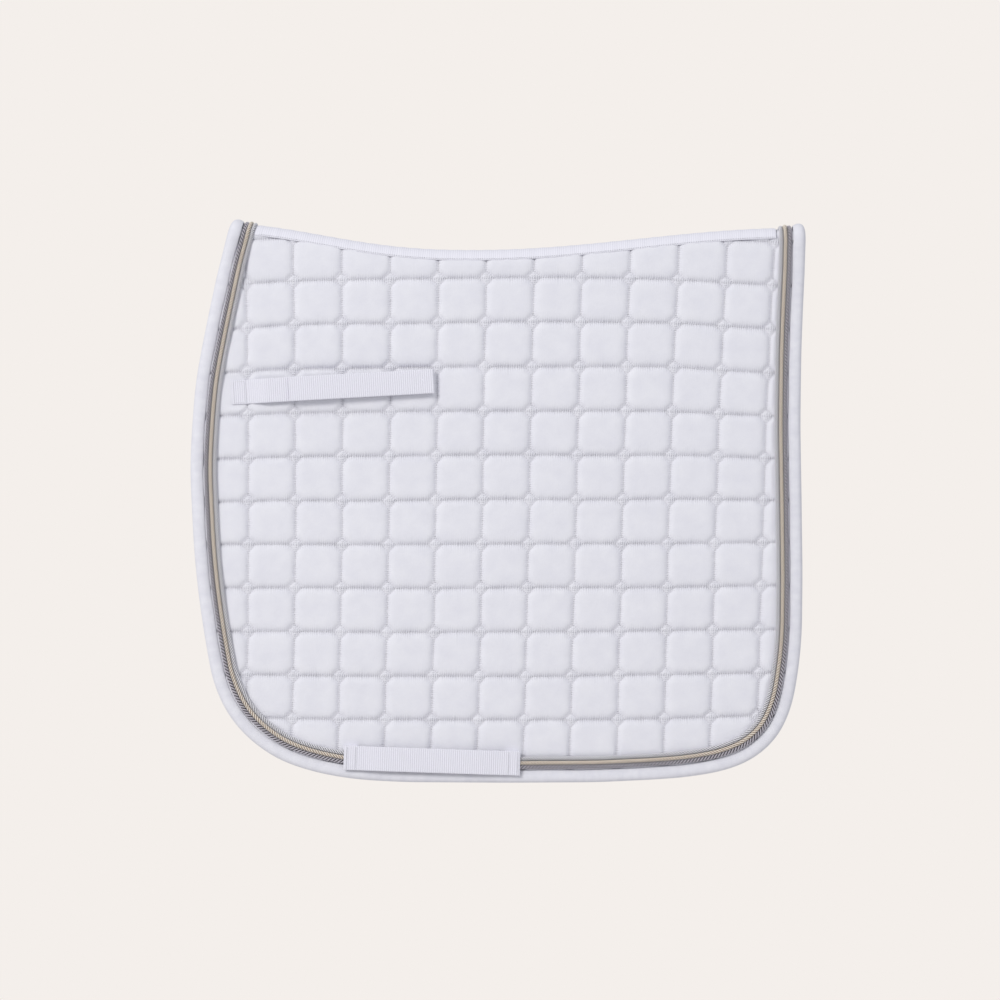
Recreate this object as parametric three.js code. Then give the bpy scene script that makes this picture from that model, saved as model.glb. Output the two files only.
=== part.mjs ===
// Dressage saddle pad, folded along its spine as it hangs. Millimetres, +Z up.
// The spine runs along X with the horse's head towards -X; the near flap is on the -Y side and the
// far flap is its mirror image. The origin is under the spine, at mid-length on the centre line.
// Each quilted panel is a cotton cover, a foam sheet and a lining. A padded edge binding and three
// twisted cords follow its front, hem and rear. The panels bend at their first quilted seam below
// the spine, so the band above that seam is one body and each flap below it is another.
import * as THREE from "three";
import * as BufferGeometryUtils from "three/addons/utils/BufferGeometryUtils.js";

// ---- Outline, seen from the side ----
const PAD_LENGTH = 632;
const PAD_DROP = 540.6; // origin down to the hem
const SEAM_DROP = 18.6; // origin down to the seam that the flaps bend at
const SPINE_LOW_X = -25; // where the spine dips lowest
const WITHERS_RISE = 28; // spine's rise at its front end
const REAR_RISE = 23;
const WITHERS_SHARPNESS = 1.2; // above 1, the rise starts further forward
const TOP_SLANT = 0.25; // front edge's lean above the seam
const CHEST_CUT = 26; // front edge at the seam, behind the foremost point
const CHEST_DROP = 229; // origin down to the foremost point
const FRONT_CORNER_RISE = 121; // front corner's start above the hem
const FRONT_CORNER_CUT = 19;
const FRONT_CORNER_RUN = 236; // front corner's end behind the foremost point
const REAR_CORNER_RUN = 166;
const REAR_CORNER_RISE = 172;
const REAR_WAIST = 3; // how hollow the rear edge is

// ---- Layers, measured out from the centre plane ----
const CLEAR = 0.3; // between neighbours
const FOLD_GAP = 2.4; // centre plane to the binding's inner face
const BINDING_THICK = 13.2;
const BINDING_WIDE = 12.4;
const BINDING_WALL = 3.7; // binding outside the panel's edge
const COVER_THICK = 1;
const FOAM_THICK = 6;
const LINING_THICK = 0.8;
const TAPE_THICK = 1;
const LINING_TAPE_THICK = 0.8;
const TAPE_DROP = 12; // tape's top to its edge
const LINING_TAPE_DROP = 4;
const DARK_CORD = 5.4; // diameters
const CHAMPAGNE_CORD = 3.4;
const SILVER_CORD = 4.6;

// ---- Straps ----
const WEBBING_WIDE = 25;
const WEBBING_THICK = 1.5;
const FASTENER_THICK = 0.8; // hook tape and loop tape
const FASTENER_WIDE = 20;
const GIRTH_LENGTH = 182;
const GIRTH_X = 248; // strap's middle behind the foremost point
const GIRTH_RISE = 23; // strap's middle above the hem
const GIRTH_TILT = 1.9; // degrees, down to the rear
const GIRTH_END = 15; // length sewn down at each end
const GIRTH_RAMP = 28;
const GIRTH_ROOM = 5.2; // the girth's room between the cords and the strap
const BILLET_X = 42; // strap's sewn end behind the foremost point
const BILLET_DROP = 138; // origin down to the sewn end's middle
const BILLET_TILT = 3.2; // degrees, up to the rear
const BILLET_LENGTH = 208.7; // sewn end to fold
const BILLET_END_LENGTH = 149; // fold to free end
const BILLET_SEWN = 15.2;
const BILLET_RAMP = 30;
const BILLET_STANDOFF = 4;
const FASTENER_INSET = 8; // fold or free end to the fastener tape
const TACK_THREAD = 1; // box stitching
const TACK_HIGH = 0.5;
const TACK_MARGIN = 2;

// ---- Worked out from the values above ----
const FRONT_X = -PAD_LENGTH / 2;
const REAR_X = PAD_LENGTH / 2;
const HEM_Z = -PAD_DROP;
const SEAM_Z = -SEAM_DROP;
const PANEL_THICK = LINING_THICK + FOAM_THICK + COVER_THICK + 2 * CLEAR;
const MID_PLANE = FOLD_GAP + BINDING_THICK / 2; // middle of a panel and its binding
const LINING_IN = MID_PLANE - PANEL_THICK / 2;
const FOAM_IN = LINING_IN + LINING_THICK + CLEAR;
const COVER_IN = FOAM_IN + FOAM_THICK + CLEAR;
const COVER_OUT = COVER_IN + COVER_THICK;
const TAPE_IN = COVER_OUT + CLEAR;
const TAPE_OUT = TAPE_IN + TAPE_THICK;
const LINING_TAPE_OUT = LINING_IN - CLEAR;
const LINING_TAPE_IN = LINING_TAPE_OUT - LINING_TAPE_THICK;
const CORD_BASE = COVER_OUT + CLEAR;
const CORD_TOP = CORD_BASE + Math.max(DARK_CORD, CHAMPAGNE_CORD, SILVER_CORD);
const DARK_INSET = BINDING_WIDE + CLEAR + DARK_CORD / 2;
const CHAMPAGNE_INSET = DARK_INSET + DARK_CORD / 2 + CLEAR + CHAMPAGNE_CORD / 2;
const SILVER_INSET = CHAMPAGNE_INSET + CHAMPAGNE_CORD / 2 + CLEAR + SILVER_CORD / 2;
const CORDS_INNER_EDGE = SILVER_INSET + SILVER_CORD / 2;
const GIRTH_BASE = CORD_TOP + CLEAR;
const SEAM_HALF_GAP = CLEAR / 2;

// ---- Materials ----
function cloth(colour, roughness) {
  return new THREE.MeshStandardMaterial({ color: colour, roughness, metalness: 0 });
}
const COVER_COTTON = cloth(0xe9e8ee, 0.75);
const LINING_COTTON = cloth(0xdfdfe4, 0.85);
const FOAM = cloth(0xe6dfb8, 0.95);
const BINDING_COTTON = cloth(0xe6e5ee, 0.6);
const DARK_YARN = cloth(0x6c6870, 0.5);
const CHAMPAGNE_YARN = cloth(0xcdb9a4, 0.45);
const SILVER_YARN = cloth(0xb9b8bd, 0.45);
const WEBBING = cloth(0xe8e7f0, 0.65);
const SPINE_TAPE = cloth(0xe6e5ee, 0.65);
const FASTENER_TAPE = cloth(0xe2e2e8, 0.9);
const THREAD = cloth(0xf0f0f2, 0.5);

// ---- Geometry helpers ----

// Welds a geometry into one closed body and turns its faces outwards if the bending turned them in.
function closedBody(geometry) {
  geometry.deleteAttribute("normal");
  geometry.deleteAttribute("uv");
  const body = BufferGeometryUtils.mergeVertices(geometry, 1e-4);
  const at = body.getAttribute("position");
  const order = body.getIndex();
  const [a, b, c] = [new THREE.Vector3(), new THREE.Vector3(), new THREE.Vector3()];
  let volume = 0;
  for (let i = 0; i < order.count; i += 3) {
    a.fromBufferAttribute(at, order.getX(i));
    b.fromBufferAttribute(at, order.getX(i + 1));
    c.fromBufferAttribute(at, order.getX(i + 2));
    volume += a.dot(b.cross(c));
  }
  if (volume < 0) {
    for (let i = 0; i < order.count; i += 3) {
      const first = order.getX(i);
      order.setX(i, order.getX(i + 2));
      order.setX(i + 2, first);
    }
  }
  body.computeVertexNormals();
  return body;
}

// Extrudes a section in whole steps, then moves every point to bend(sectionX, sectionY, step).
function bentExtrusion(section, steps, bend, curveSegments = 4) {
  const options = { depth: steps, steps, bevelEnabled: false, curveSegments };
  const geometry = new THREE.ExtrudeGeometry(section, options);
  const at = geometry.getAttribute("position");
  for (let i = 0; i < at.count; i += 1) {
    at.setXYZ(i, ...bend(at.getX(i), at.getY(i), Math.round(at.getZ(i))));
  }
  return closedBody(geometry);
}

function roundSection(diameter, x, y) {
  const section = new THREE.Shape();
  section.absarc(x, y, diameter / 2, 0, 2 * Math.PI, false);
  return section;
}

function piece(name, geometry, material) {
  const mesh = new THREE.Mesh(geometry, material);
  mesh.name = name;
  return mesh;
}

// ---- The spine's rise and the outline ----
function spineRise(x) {
  const forward = x < SPINE_LOW_X;
  const end = forward ? FRONT_X + CHEST_CUT : REAR_X;
  const share = THREE.MathUtils.clamp((x - SPINE_LOW_X) / (end - SPINE_LOW_X), 0, 1);
  const turn = Math.PI * share ** (forward ? WITHERS_SHARPNESS : 1);
  return ((forward ? WITHERS_RISE : REAR_RISE) * (1 - Math.cos(turn))) / 2;
}

// Height of the line that the layers wrap round, so that the lowest underside is at Z = 0. It is
// straight between its stations, so that every layer bends at the same places.
const SPINE_STATIONS = 13;
const SPINE_FIRST = FRONT_X + CHEST_CUT + 2 * CORDS_INNER_EDGE;
const SPINE_STEP = (REAR_X - 2 * CORDS_INNER_EDGE - SPINE_FIRST) / (SPINE_STATIONS - 1);
function wrapLine(x) {
  const from = SPINE_FIRST + Math.floor((x - SPINE_FIRST) / SPINE_STEP) * SPINE_STEP;
  const share = (x - from) / SPINE_STEP;
  return THREE.MathUtils.lerp(spineRise(from), spineRise(from + SPINE_STEP), share) - LINING_TAPE_IN;
}

function frontEdgeAbove(z) {
  return FRONT_X + CHEST_CUT + TOP_SLANT * (z - SEAM_Z);
}

// Where a height over the wrap line meets the slanted front edge or the upright rear edge.
function spineEndPoint(height, inset, atFront) {
  let x = atFront ? frontEdgeAbove(0) + inset : REAR_X - inset;
  for (let round = 0; round < 3 && atFront; round += 1) {
    x = frontEdgeAbove(wrapLine(x) + height) + inset;
  }
  return [x, wrapLine(x) + height];
}

function seamEndPoint(inset, atFront) {
  const z = SEAM_Z + SEAM_HALF_GAP;
  return [atFront ? frontEdgeAbove(z) + inset : REAR_X - inset, z];
}

// A flap's outer edge from the seam down the front, along the hem and up the rear. Each station
// has its place and the inward direction there; at the seam that direction is level.
function flapEdge() {
  const point = (x, z) => new THREE.Vector2(x, z);
  const bottom = SEAM_Z - SEAM_HALF_GAP;
  const chestRun = SEAM_Z + CHEST_DROP;
  const cornerZ = HEM_Z + FRONT_CORNER_RISE;
  const cornerX = FRONT_X + FRONT_CORNER_CUT;
  const sideRun = -CHEST_DROP - cornerZ;
  const curves = [
    [6, new THREE.CubicBezierCurve(
      point(FRONT_X + CHEST_CUT, bottom),
      point(FRONT_X + CHEST_CUT - TOP_SLANT * 0.2 * chestRun, bottom - 0.25 * chestRun),
      point(FRONT_X, -CHEST_DROP + 0.42 * chestRun),
      point(FRONT_X, -CHEST_DROP),
    )],
    [3, new THREE.CubicBezierCurve(
      point(FRONT_X, -CHEST_DROP),
      point(FRONT_X, -CHEST_DROP - 0.37 * sideRun),
      point(cornerX - 0.6 * FRONT_CORNER_CUT, cornerZ + 0.32 * sideRun),
      point(cornerX, cornerZ),
    )],
    [9, new THREE.CubicBezierCurve(
      point(cornerX, cornerZ),
      point(cornerX + 0.52 * FRONT_CORNER_CUT, cornerZ - 0.45 * FRONT_CORNER_RISE),
      point(FRONT_X + 0.32 * FRONT_CORNER_RUN, HEM_Z),
      point(FRONT_X + FRONT_CORNER_RUN, HEM_Z),
    )],
    [2, new THREE.LineCurve(
      point(FRONT_X + FRONT_CORNER_RUN, HEM_Z),
      point(REAR_X - REAR_CORNER_RUN, HEM_Z),
    )],
    [8, new THREE.CubicBezierCurve(
      point(REAR_X - REAR_CORNER_RUN, HEM_Z),
      point(REAR_X - 0.46 * REAR_CORNER_RUN, HEM_Z),
      point(REAR_X - REAR_WAIST, HEM_Z + 0.13 * REAR_CORNER_RISE),
      point(REAR_X - REAR_WAIST, HEM_Z + REAR_CORNER_RISE),
    )],
    [4, new THREE.CubicBezierCurve(
      point(REAR_X - REAR_WAIST, HEM_Z + REAR_CORNER_RISE),
      point(REAR_X - REAR_WAIST, HEM_Z + REAR_CORNER_RISE + REAR_CORNER_RISE / 2),
      point(REAR_X - REAR_WAIST, SEAM_Z - REAR_CORNER_RISE / 2),
      point(REAR_X, bottom),
    )],
  ];
  const places = [];
  for (const [count, curve] of curves) {
    places.push(...curve.getPoints(count).slice(places.length ? 1 : 0));
  }
  return places.map((place, i) => {
    if (i === 0 || i === places.length - 1) {
      return { place, inward: point(i === 0 ? 1 : -1, 0) };
    }
    const along = places[i + 1].clone().sub(places[i - 1]).normalize();
    return { place, inward: point(-along.y, along.x) };
  });
}
const EDGE = flapEdge();

function insideEdge(inset) {
  return EDGE.map(({ place, inward }) => place.clone().addScaledVector(inward, inset));
}

// Height of the line a given distance inside the hem, below a place along the pad.
function heightInsideHem(x, inset) {
  const line = insideEdge(inset);
  const next = line.findIndex((spot, i) => i > 0 && line[i - 1].x <= x && spot.x > x);
  const [from, to] = [line[next - 1], line[next]];
  return THREE.MathUtils.lerp(from.y, to.y, (x - from.x) / (to.x - from.x));
}

// A section of (distance in from the edge, distance out from the centre plane), run round a flap.
function roundTheFlap(section, side) {
  return bentExtrusion(section, EDGE.length - 1, (inset, out, i) => {
    const { place, inward } = EDGE[i];
    return [place.x + inward.x * inset, side * out, place.y + inward.y * inset];
  });
}

// A flat sheet of a flap, its edge a given distance inside the outline.
function flapSheet(inset, from, to, side) {
  const outline = new THREE.Shape(insideEdge(inset));
  return bentExtrusion(outline, 1, (x, z, i) => [x, side * (i ? to : from), z]);
}

// A section of (distance out from the centre plane, height over the wrap line), run along the
// spine between the two edges. Points below the wrap line reach down to the seam instead.
function alongTheSpine(section, inset, side) {
  const last = SPINE_STATIONS + 1;
  return bentExtrusion(section, last, (out, height, i) => {
    const onSeam = height < 0;
    const station = SPINE_FIRST + (i - 1) * SPINE_STEP;
    let [x, z] = [station, onSeam ? SEAM_Z + SEAM_HALF_GAP : wrapLine(station) + height];
    if (i === 0 || i === last) {
      [x, z] = onSeam ? seamEndPoint(inset, i === 0) : spineEndPoint(height, inset, i === 0);
    }
    return [x, side * out, z];
  });
}

// Quarter ring with a leg: a panel layer from the seam to the centre line.
function bandSection(inner, outer) {
  const cut = Math.asin(CLEAR / 2 / inner);
  const section = new THREE.Shape();
  section.moveTo(inner, -1);
  section.lineTo(outer, -1);
  section.absarc(0, 0, outer, 0, Math.PI / 2 - cut, false);
  section.absarc(0, 0, inner, Math.PI / 2 - cut, 0, true);
  section.closePath();
  return section;
}

// Part of a ring over the spine, from one side to the other.
function tapeSection(inner, outer, drop) {
  const start = Math.asin((outer - drop) / outer);
  const section = new THREE.Shape();
  section.absarc(0, 0, outer, start, Math.PI - start, false);
  section.absarc(0, 0, inner, Math.PI - start, start, true);
  section.closePath();
  return section;
}

// A section of (distance in from the edge, distance out from the centre plane), run up from the
// near seam, over the spine and down to the far seam at the front or rear edge.
const ARCH_STEPS = 8;
function overTheSpine(section, atFront) {
  return bentExtrusion(section, ARCH_STEPS + 2, (inset, out, i) => {
    const turn = (Math.PI * THREE.MathUtils.clamp(i - 1, 0, ARCH_STEPS)) / ARCH_STEPS;
    const onSeam = i === 0 || i === ARCH_STEPS + 2;
    const end = spineEndPoint(out * Math.sin(turn), inset, atFront);
    const [x, z] = onSeam ? seamEndPoint(inset, atFront) : end;
    return [x, -out * Math.cos(turn), z];
  });
}

// The rolled binding: an oval with a slot that takes the panel's edge.
function bindingSection() {
  const slot = PANEL_THICK / 2 + CLEAR;
  const half = BINDING_THICK / 2;
  const section = new THREE.Shape();
  section.moveTo(BINDING_WIDE, MID_PLANE + slot);
  section.lineTo(BINDING_WIDE - 2, MID_PLANE + half);
  section.lineTo(BINDING_WALL, MID_PLANE + half);
  section.absellipse(BINDING_WALL, MID_PLANE, BINDING_WALL, half, Math.PI / 2, 1.5 * Math.PI, false);
  section.lineTo(BINDING_WIDE - 2, MID_PLANE - half);
  section.lineTo(BINDING_WIDE, MID_PLANE - slot);
  section.lineTo(BINDING_WALL, MID_PLANE - slot);
  section.lineTo(BINDING_WALL, MID_PLANE + slot);
  return section;
}

const PANEL_INSET = BINDING_WALL + CLEAR;
const LAYERS = [
  ["lining", LINING_IN, LINING_IN + LINING_THICK, LINING_COTTON],
  ["foam", FOAM_IN, FOAM_IN + FOAM_THICK, FOAM],
  ["cover", COVER_IN, COVER_OUT, COVER_COTTON],
];
const CORDS = [
  ["dark_cord", DARK_CORD, DARK_INSET, DARK_YARN],
  ["champagne_cord", CHAMPAGNE_CORD, CHAMPAGNE_INSET, CHAMPAGNE_YARN],
  ["silver_cord", SILVER_CORD, SILVER_INSET, SILVER_YARN],
];

// ---- The band over the spine ----
function spineBand() {
  const band = new THREE.Group();
  for (const [sideName, side] of [["near", -1], ["far", 1]]) {
    for (const [name, from, to, material] of LAYERS) {
      const layer = alongTheSpine(bandSection(from, to), PANEL_INSET, side);
      band.add(piece(`${sideName}_spine_${name}`, layer, material));
    }
  }
  const tapeInset = BINDING_WIDE + CLEAR;
  const cordedInset = CORDS_INNER_EDGE + CLEAR;
  const tape = alongTheSpine(tapeSection(TAPE_IN, TAPE_OUT, TAPE_DROP), cordedInset, 1);
  const liningSection = tapeSection(LINING_TAPE_IN, LINING_TAPE_OUT, LINING_TAPE_DROP);
  const liningTape = alongTheSpine(liningSection, tapeInset, 1);
  band.add(piece("spine_tape", tape, SPINE_TAPE));
  band.add(piece("spine_lining_tape", liningTape, SPINE_TAPE));
  for (const [endName, atFront] of [["front", true], ["rear", false]]) {
    const binding = overTheSpine(bindingSection(), atFront);
    band.add(piece(`spine_binding_${endName}`, binding, BINDING_COTTON));
    for (const [name, diameter, inset, material] of CORDS) {
      const section = roundSection(diameter, inset, CORD_BASE + diameter / 2);
      band.add(piece(`spine_${name}_${endName}`, overTheSpine(section, atFront), material));
    }
  }
  return band;
}

// ---- Straps, in a frame of their own: X along the strap, Z across it, -Y or +Y out from the pad ----

// A profile of (place along, distance out from the centre plane) as wide as the piece.
function strapSolid(profile, width, side) {
  return bentExtrusion(profile, 1, (x, out, i) => [x, side * out, (i - 0.5) * width]);
}

// A strip whose inner face climbs from one level to the next over each ramp.
function stripProfile(faces, thick) {
  const under = faces.map(([x, out]) => new THREE.Vector2(x, out));
  const over = faces.map(([x, out]) => new THREE.Vector2(x, out + thick)).reverse();
  return new THREE.Shape([...under, ...over]);
}

function rampFaces(from, to, low, high) {
  const run = to - from;
  return [0, 0.2, 0.5, 0.8, 1].map((share) => {
    const climb = THREE.MathUtils.smoothstep(share, 0, 1);
    return [from + share * run, low + climb * (high - low)];
  });
}

function boxStitching(length, width, out, side) {
  const [halfLong, halfWide] = [length / 2 - TACK_MARGIN, width / 2 - TACK_MARGIN];
  const rectangle = (x, z) => [[-x, -z], [x, -z], [x, z], [-x, z]].map((p) => new THREE.Vector2(...p));
  const frame = new THREE.Shape(rectangle(halfLong, halfWide));
  const hole = rectangle(halfLong - TACK_THREAD, halfWide - TACK_THREAD);
  frame.holes.push(new THREE.Path(hole));
  return bentExtrusion(frame, 1, (x, z, i) => [x, side * (out + i * TACK_HIGH), z]);
}

// The fixed keeper for the girth: sewn down at both ends on feet that clear the cords.
function girthKeeper(sideName, side) {
  const keeper = new THREE.Group();
  keeper.position.set(FRONT_X + GIRTH_X, 0, HEM_Z + GIRTH_RISE);
  keeper.rotation.y = THREE.MathUtils.degToRad(GIRTH_TILT);
  const half = GIRTH_LENGTH / 2;
  const raised = GIRTH_BASE + GIRTH_ROOM;
  const rampStart = half - GIRTH_END;
  const faces = [
    [-half, GIRTH_BASE],
    ...rampFaces(-rampStart, -rampStart + GIRTH_RAMP, GIRTH_BASE, raised),
    ...rampFaces(rampStart, rampStart - GIRTH_RAMP, GIRTH_BASE, raised).reverse(),
    [half, GIRTH_BASE],
  ];
  const strip = strapSolid(stripProfile(faces, WEBBING_THICK), WEBBING_WIDE, side);
  keeper.add(piece(`${sideName}_girth_strap`, strip, WEBBING));
  for (const [endName, end] of [["front", -1], ["rear", 1]]) {
    const middle = end * (half - GIRTH_END / 2);
    const highest = [half, half - GIRTH_END].map((reach) => {
      const cords = heightInsideHem(keeper.position.x + end * reach, CORDS_INNER_EDGE + 2 * CLEAR);
      return cords - keeper.position.z + end * reach * Math.sin(keeper.rotation.y);
    });
    const low = Math.max(...highest);
    const foldWide = WEBBING_WIDE / 2 - low;
    const foldThick = GIRTH_BASE - CLEAR - COVER_OUT - CLEAR;
    const fold = closedBody(new THREE.BoxGeometry(GIRTH_END, foldThick, foldWide));
    const foldPiece = piece(`${sideName}_girth_fold_${endName}`, fold, WEBBING);
    foldPiece.position.set(middle, side * (COVER_OUT + CLEAR + foldThick / 2), low + foldWide / 2);
    const stitching = boxStitching(GIRTH_END, WEBBING_WIDE, GIRTH_BASE + WEBBING_THICK + CLEAR, side);
    const stitchPiece = piece(`${sideName}_girth_stitching_${endName}`, stitching, THREAD);
    stitchPiece.position.x = middle;
    keeper.add(foldPiece, stitchPiece);
  }
  return keeper;
}

// The billet strap: sewn down at its front end, folded back at its rear end and closed on itself
// with loop tape and hook tape.
function billetStrap(sideName, side) {
  const strap = new THREE.Group();
  strap.position.set(FRONT_X + BILLET_X, 0, -BILLET_DROP);
  strap.rotation.y = -THREE.MathUtils.degToRad(BILLET_TILT);
  const base = COVER_OUT + CLEAR;
  const raised = base + BILLET_STANDOFF;
  const start = BILLET_SEWN + CLEAR;
  const sewn = stripProfile([[0, base], [BILLET_SEWN, base]], WEBBING_THICK);
  strap.add(piece(`${sideName}_billet_sewn_end`, strapSolid(sewn, WEBBING_WIDE, side), WEBBING));
  const stitching = boxStitching(BILLET_SEWN, WEBBING_WIDE, base + WEBBING_THICK + CLEAR, side);
  const stitchPiece = piece(`${sideName}_billet_stitching`, stitching, THREAD);
  stitchPiece.position.x = BILLET_SEWN / 2;
  strap.add(stitchPiece);

  const faces = [...rampFaces(start, start + BILLET_RAMP, base, raised), [BILLET_LENGTH, raised]];
  const lower = strapSolid(stripProfile(faces, WEBBING_THICK), WEBBING_WIDE, side);
  strap.add(piece(`${sideName}_billet_strap`, lower, WEBBING));

  const tapeFrom = BILLET_LENGTH - BILLET_END_LENGTH + FASTENER_INSET;
  const tapeTo = BILLET_LENGTH - FASTENER_INSET;
  const layer = (from, to, out, thick, width) =>
    strapSolid(stripProfile([[from, out], [to, out]], thick), width, side);
  const loopOut = raised + WEBBING_THICK + CLEAR;
  const hookOut = loopOut + FASTENER_THICK + CLEAR;
  const endOut = hookOut + FASTENER_THICK + CLEAR;
  const loop = layer(tapeFrom, tapeTo, loopOut, FASTENER_THICK, FASTENER_WIDE);
  const hook = layer(tapeFrom, tapeTo, hookOut, FASTENER_THICK, FASTENER_WIDE);
  const freeFrom = BILLET_LENGTH - BILLET_END_LENGTH;
  const end = layer(freeFrom, BILLET_LENGTH, endOut, WEBBING_THICK, WEBBING_WIDE);
  strap.add(piece(`${sideName}_billet_loop_tape`, loop, FASTENER_TAPE));
  strap.add(piece(`${sideName}_billet_hook_tape`, hook, FASTENER_TAPE));
  strap.add(piece(`${sideName}_billet_strap_end`, end, WEBBING));
  return strap;
}

// ---- A flap with everything sewn to it ----
function flap(sideName, side) {
  const all = new THREE.Group();
  for (const [name, from, to, material] of LAYERS) {
    all.add(piece(`${sideName}_${name}`, flapSheet(PANEL_INSET, from, to, side), material));
  }
  all.add(piece(`${sideName}_binding`, roundTheFlap(bindingSection(), side), BINDING_COTTON));
  for (const [name, diameter, inset, material] of CORDS) {
    const section = roundSection(diameter, inset, CORD_BASE + diameter / 2);
    all.add(piece(`${sideName}_${name}`, roundTheFlap(section, side), material));
  }
  all.add(girthKeeper(sideName, side), billetStrap(sideName, side));
  return all;
}

const saddlePad = new THREE.Group();
saddlePad.add(spineBand(), flap("near", -1), flap("far", 1));
export default saddlePad;
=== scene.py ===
"""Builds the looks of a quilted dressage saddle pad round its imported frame.

The pad hangs folded along its spine, which runs along X with the horse's head towards -X. The near
flap is on the -Y side. Lengths in the helpers are in millimetres and meshes are in metres.
"""

import math

import bpy
import numpy as np
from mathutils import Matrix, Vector
from mathutils.kdtree import KDTree


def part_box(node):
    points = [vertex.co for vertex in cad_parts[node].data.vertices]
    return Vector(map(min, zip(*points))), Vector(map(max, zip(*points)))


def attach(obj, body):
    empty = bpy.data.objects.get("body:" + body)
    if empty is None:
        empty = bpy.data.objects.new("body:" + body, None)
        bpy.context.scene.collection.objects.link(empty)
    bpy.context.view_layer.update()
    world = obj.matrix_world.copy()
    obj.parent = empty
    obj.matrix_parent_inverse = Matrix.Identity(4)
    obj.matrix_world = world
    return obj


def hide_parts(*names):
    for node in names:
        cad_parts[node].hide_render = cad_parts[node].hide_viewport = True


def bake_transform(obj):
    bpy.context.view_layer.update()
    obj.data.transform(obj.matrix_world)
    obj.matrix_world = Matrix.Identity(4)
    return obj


bl_info = {
    "name": "Saddle Pad",
    "version": (1, 0, 0),
    "blender": (4, 5, 0),
    "location": "View3D > Sidebar > Saddle Pad",
    "description": "Quilted dressage saddle pad with corded edges and webbing straps",
    "category": "Add Mesh",
}

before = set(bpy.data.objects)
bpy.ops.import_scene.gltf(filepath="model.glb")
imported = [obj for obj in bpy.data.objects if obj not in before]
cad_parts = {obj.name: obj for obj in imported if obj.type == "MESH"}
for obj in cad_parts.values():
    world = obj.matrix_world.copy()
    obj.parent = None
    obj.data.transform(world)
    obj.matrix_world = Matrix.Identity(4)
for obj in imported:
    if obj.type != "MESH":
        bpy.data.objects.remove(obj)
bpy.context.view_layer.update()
MM = 0.001
SIDES = (("near", -1), ("far", 1))


def node_box(node):
    """Lowest and highest corner of a CAD node, in millimetres."""
    low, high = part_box(node)
    return np.array(low) / MM, np.array(high) / MM


# ---- Places that come from the frame ----
EDGE_LOW, EDGE_HIGH = node_box("near_binding")
COVER_LOW = node_box("near_cover")[0]
FRONT_X = EDGE_LOW[0]
REAR_X = EDGE_HIGH[0]
HEM_Z = EDGE_LOW[2]
SEAM_GAP = 0.15
SEAM_Z = EDGE_HIGH[2] + SEAM_GAP
COVER_OUT = -COVER_LOW[1]
LINING_IN = -node_box("near_lining")[1][1]
MID_PLANE = -(EDGE_LOW[1] + EDGE_HIGH[1]) / 2
TAPE_HIGH = node_box("spine_tape")[1]
CORD_BASE = -node_box("near_silver_cord")[1][1]

# ---- Outline, as the frame's pieces were cut ----
SPINE_LOW_X = -25.0
SPINE_UNDER = 3.7  # wrap line to the spine's underside
WITHERS_RISE = 28.0
WITHERS_SHARPNESS = 1.2
REAR_RISE = 23.0
CHEST_CUT = 26.0
CHEST_Z = -229.0
TOP_SLANT = 0.25
FRONT_CORNER_CUT = 19.0
FRONT_CORNER_RISE = 121.0
FRONT_CORNER_RUN = 236.0
REAR_CORNER_RUN = 166.0
REAR_CORNER_RISE = 172.0
REAR_WAIST = 3.0

REAR_FLARE = 2.0
# How far the sewn edge strays outwards from the cut pattern, by share of its run
EDGE_STRAY = np.array([
    (0, 0), (0.04, 0.8), (0.07, 2.0), (0.1, 1.2), (0.13, 1.1), (0.16, -0.3), (0.28, 0), (0.31, 2.2),
    (0.345, 4.0), (0.38, 2.0), (0.42, 0), (0.5, 0.7), (0.56, 0.2), (0.605, -3.0), (0.63, -2.6),
    (0.65, 0.2), (0.67, 4.0), (0.69, 6.3), (0.71, 5.0), (0.73, 2.6), (0.75, 2.2), (0.8, 3.0),
    (0.85, 1.9), (0.9, 0.3), (0.95, 0.5), (1, REAR_FLARE),
])

# ---- Edge trim, as distances in from the outline ----
BINDING_WIDE = 13.3


def smoothstep(low, high, value):
    share = np.clip((np.asarray(value, float) - low) / (high - low), 0, 1)
    return share * share * (3 - 2 * share)


def wrap_line(x):
    """Height of the line that the layers wrap round at the spine."""
    x = np.asarray(x, float)
    front = np.clip((SPINE_LOW_X - x) / (SPINE_LOW_X - FRONT_X - CHEST_CUT), 0,
            1) ** WITHERS_SHARPNESS
    rear = np.clip((x - SPINE_LOW_X) / (REAR_X - SPINE_LOW_X), 0, 1)
    rise = WITHERS_RISE * (1 - np.cos(np.pi * front)) + REAR_RISE * (1 - np.cos(np.pi * rear))
    return rise / 2 - SPINE_UNDER


def front_edge_above(z):
    return FRONT_X + CHEST_CUT + TOP_SLANT * (np.asarray(z, float) - SEAM_Z)


def rear_edge_above(z):
    return REAR_X + REAR_FLARE + 0.03 * (np.asarray(z, float) - SEAM_Z)


def bezier(start, pull, push, end, count=160):
    t = np.linspace(0, 1, count)[:, None]
    corners = [np.array(p, float) for p in (start, pull, push, end)]
    weights = ((1 - t) ** 3, 3 * t * (1 - t) ** 2, 3 * t * t * (1 - t), t**3)
    return sum(w * c for w, c in zip(weights, corners))


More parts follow.
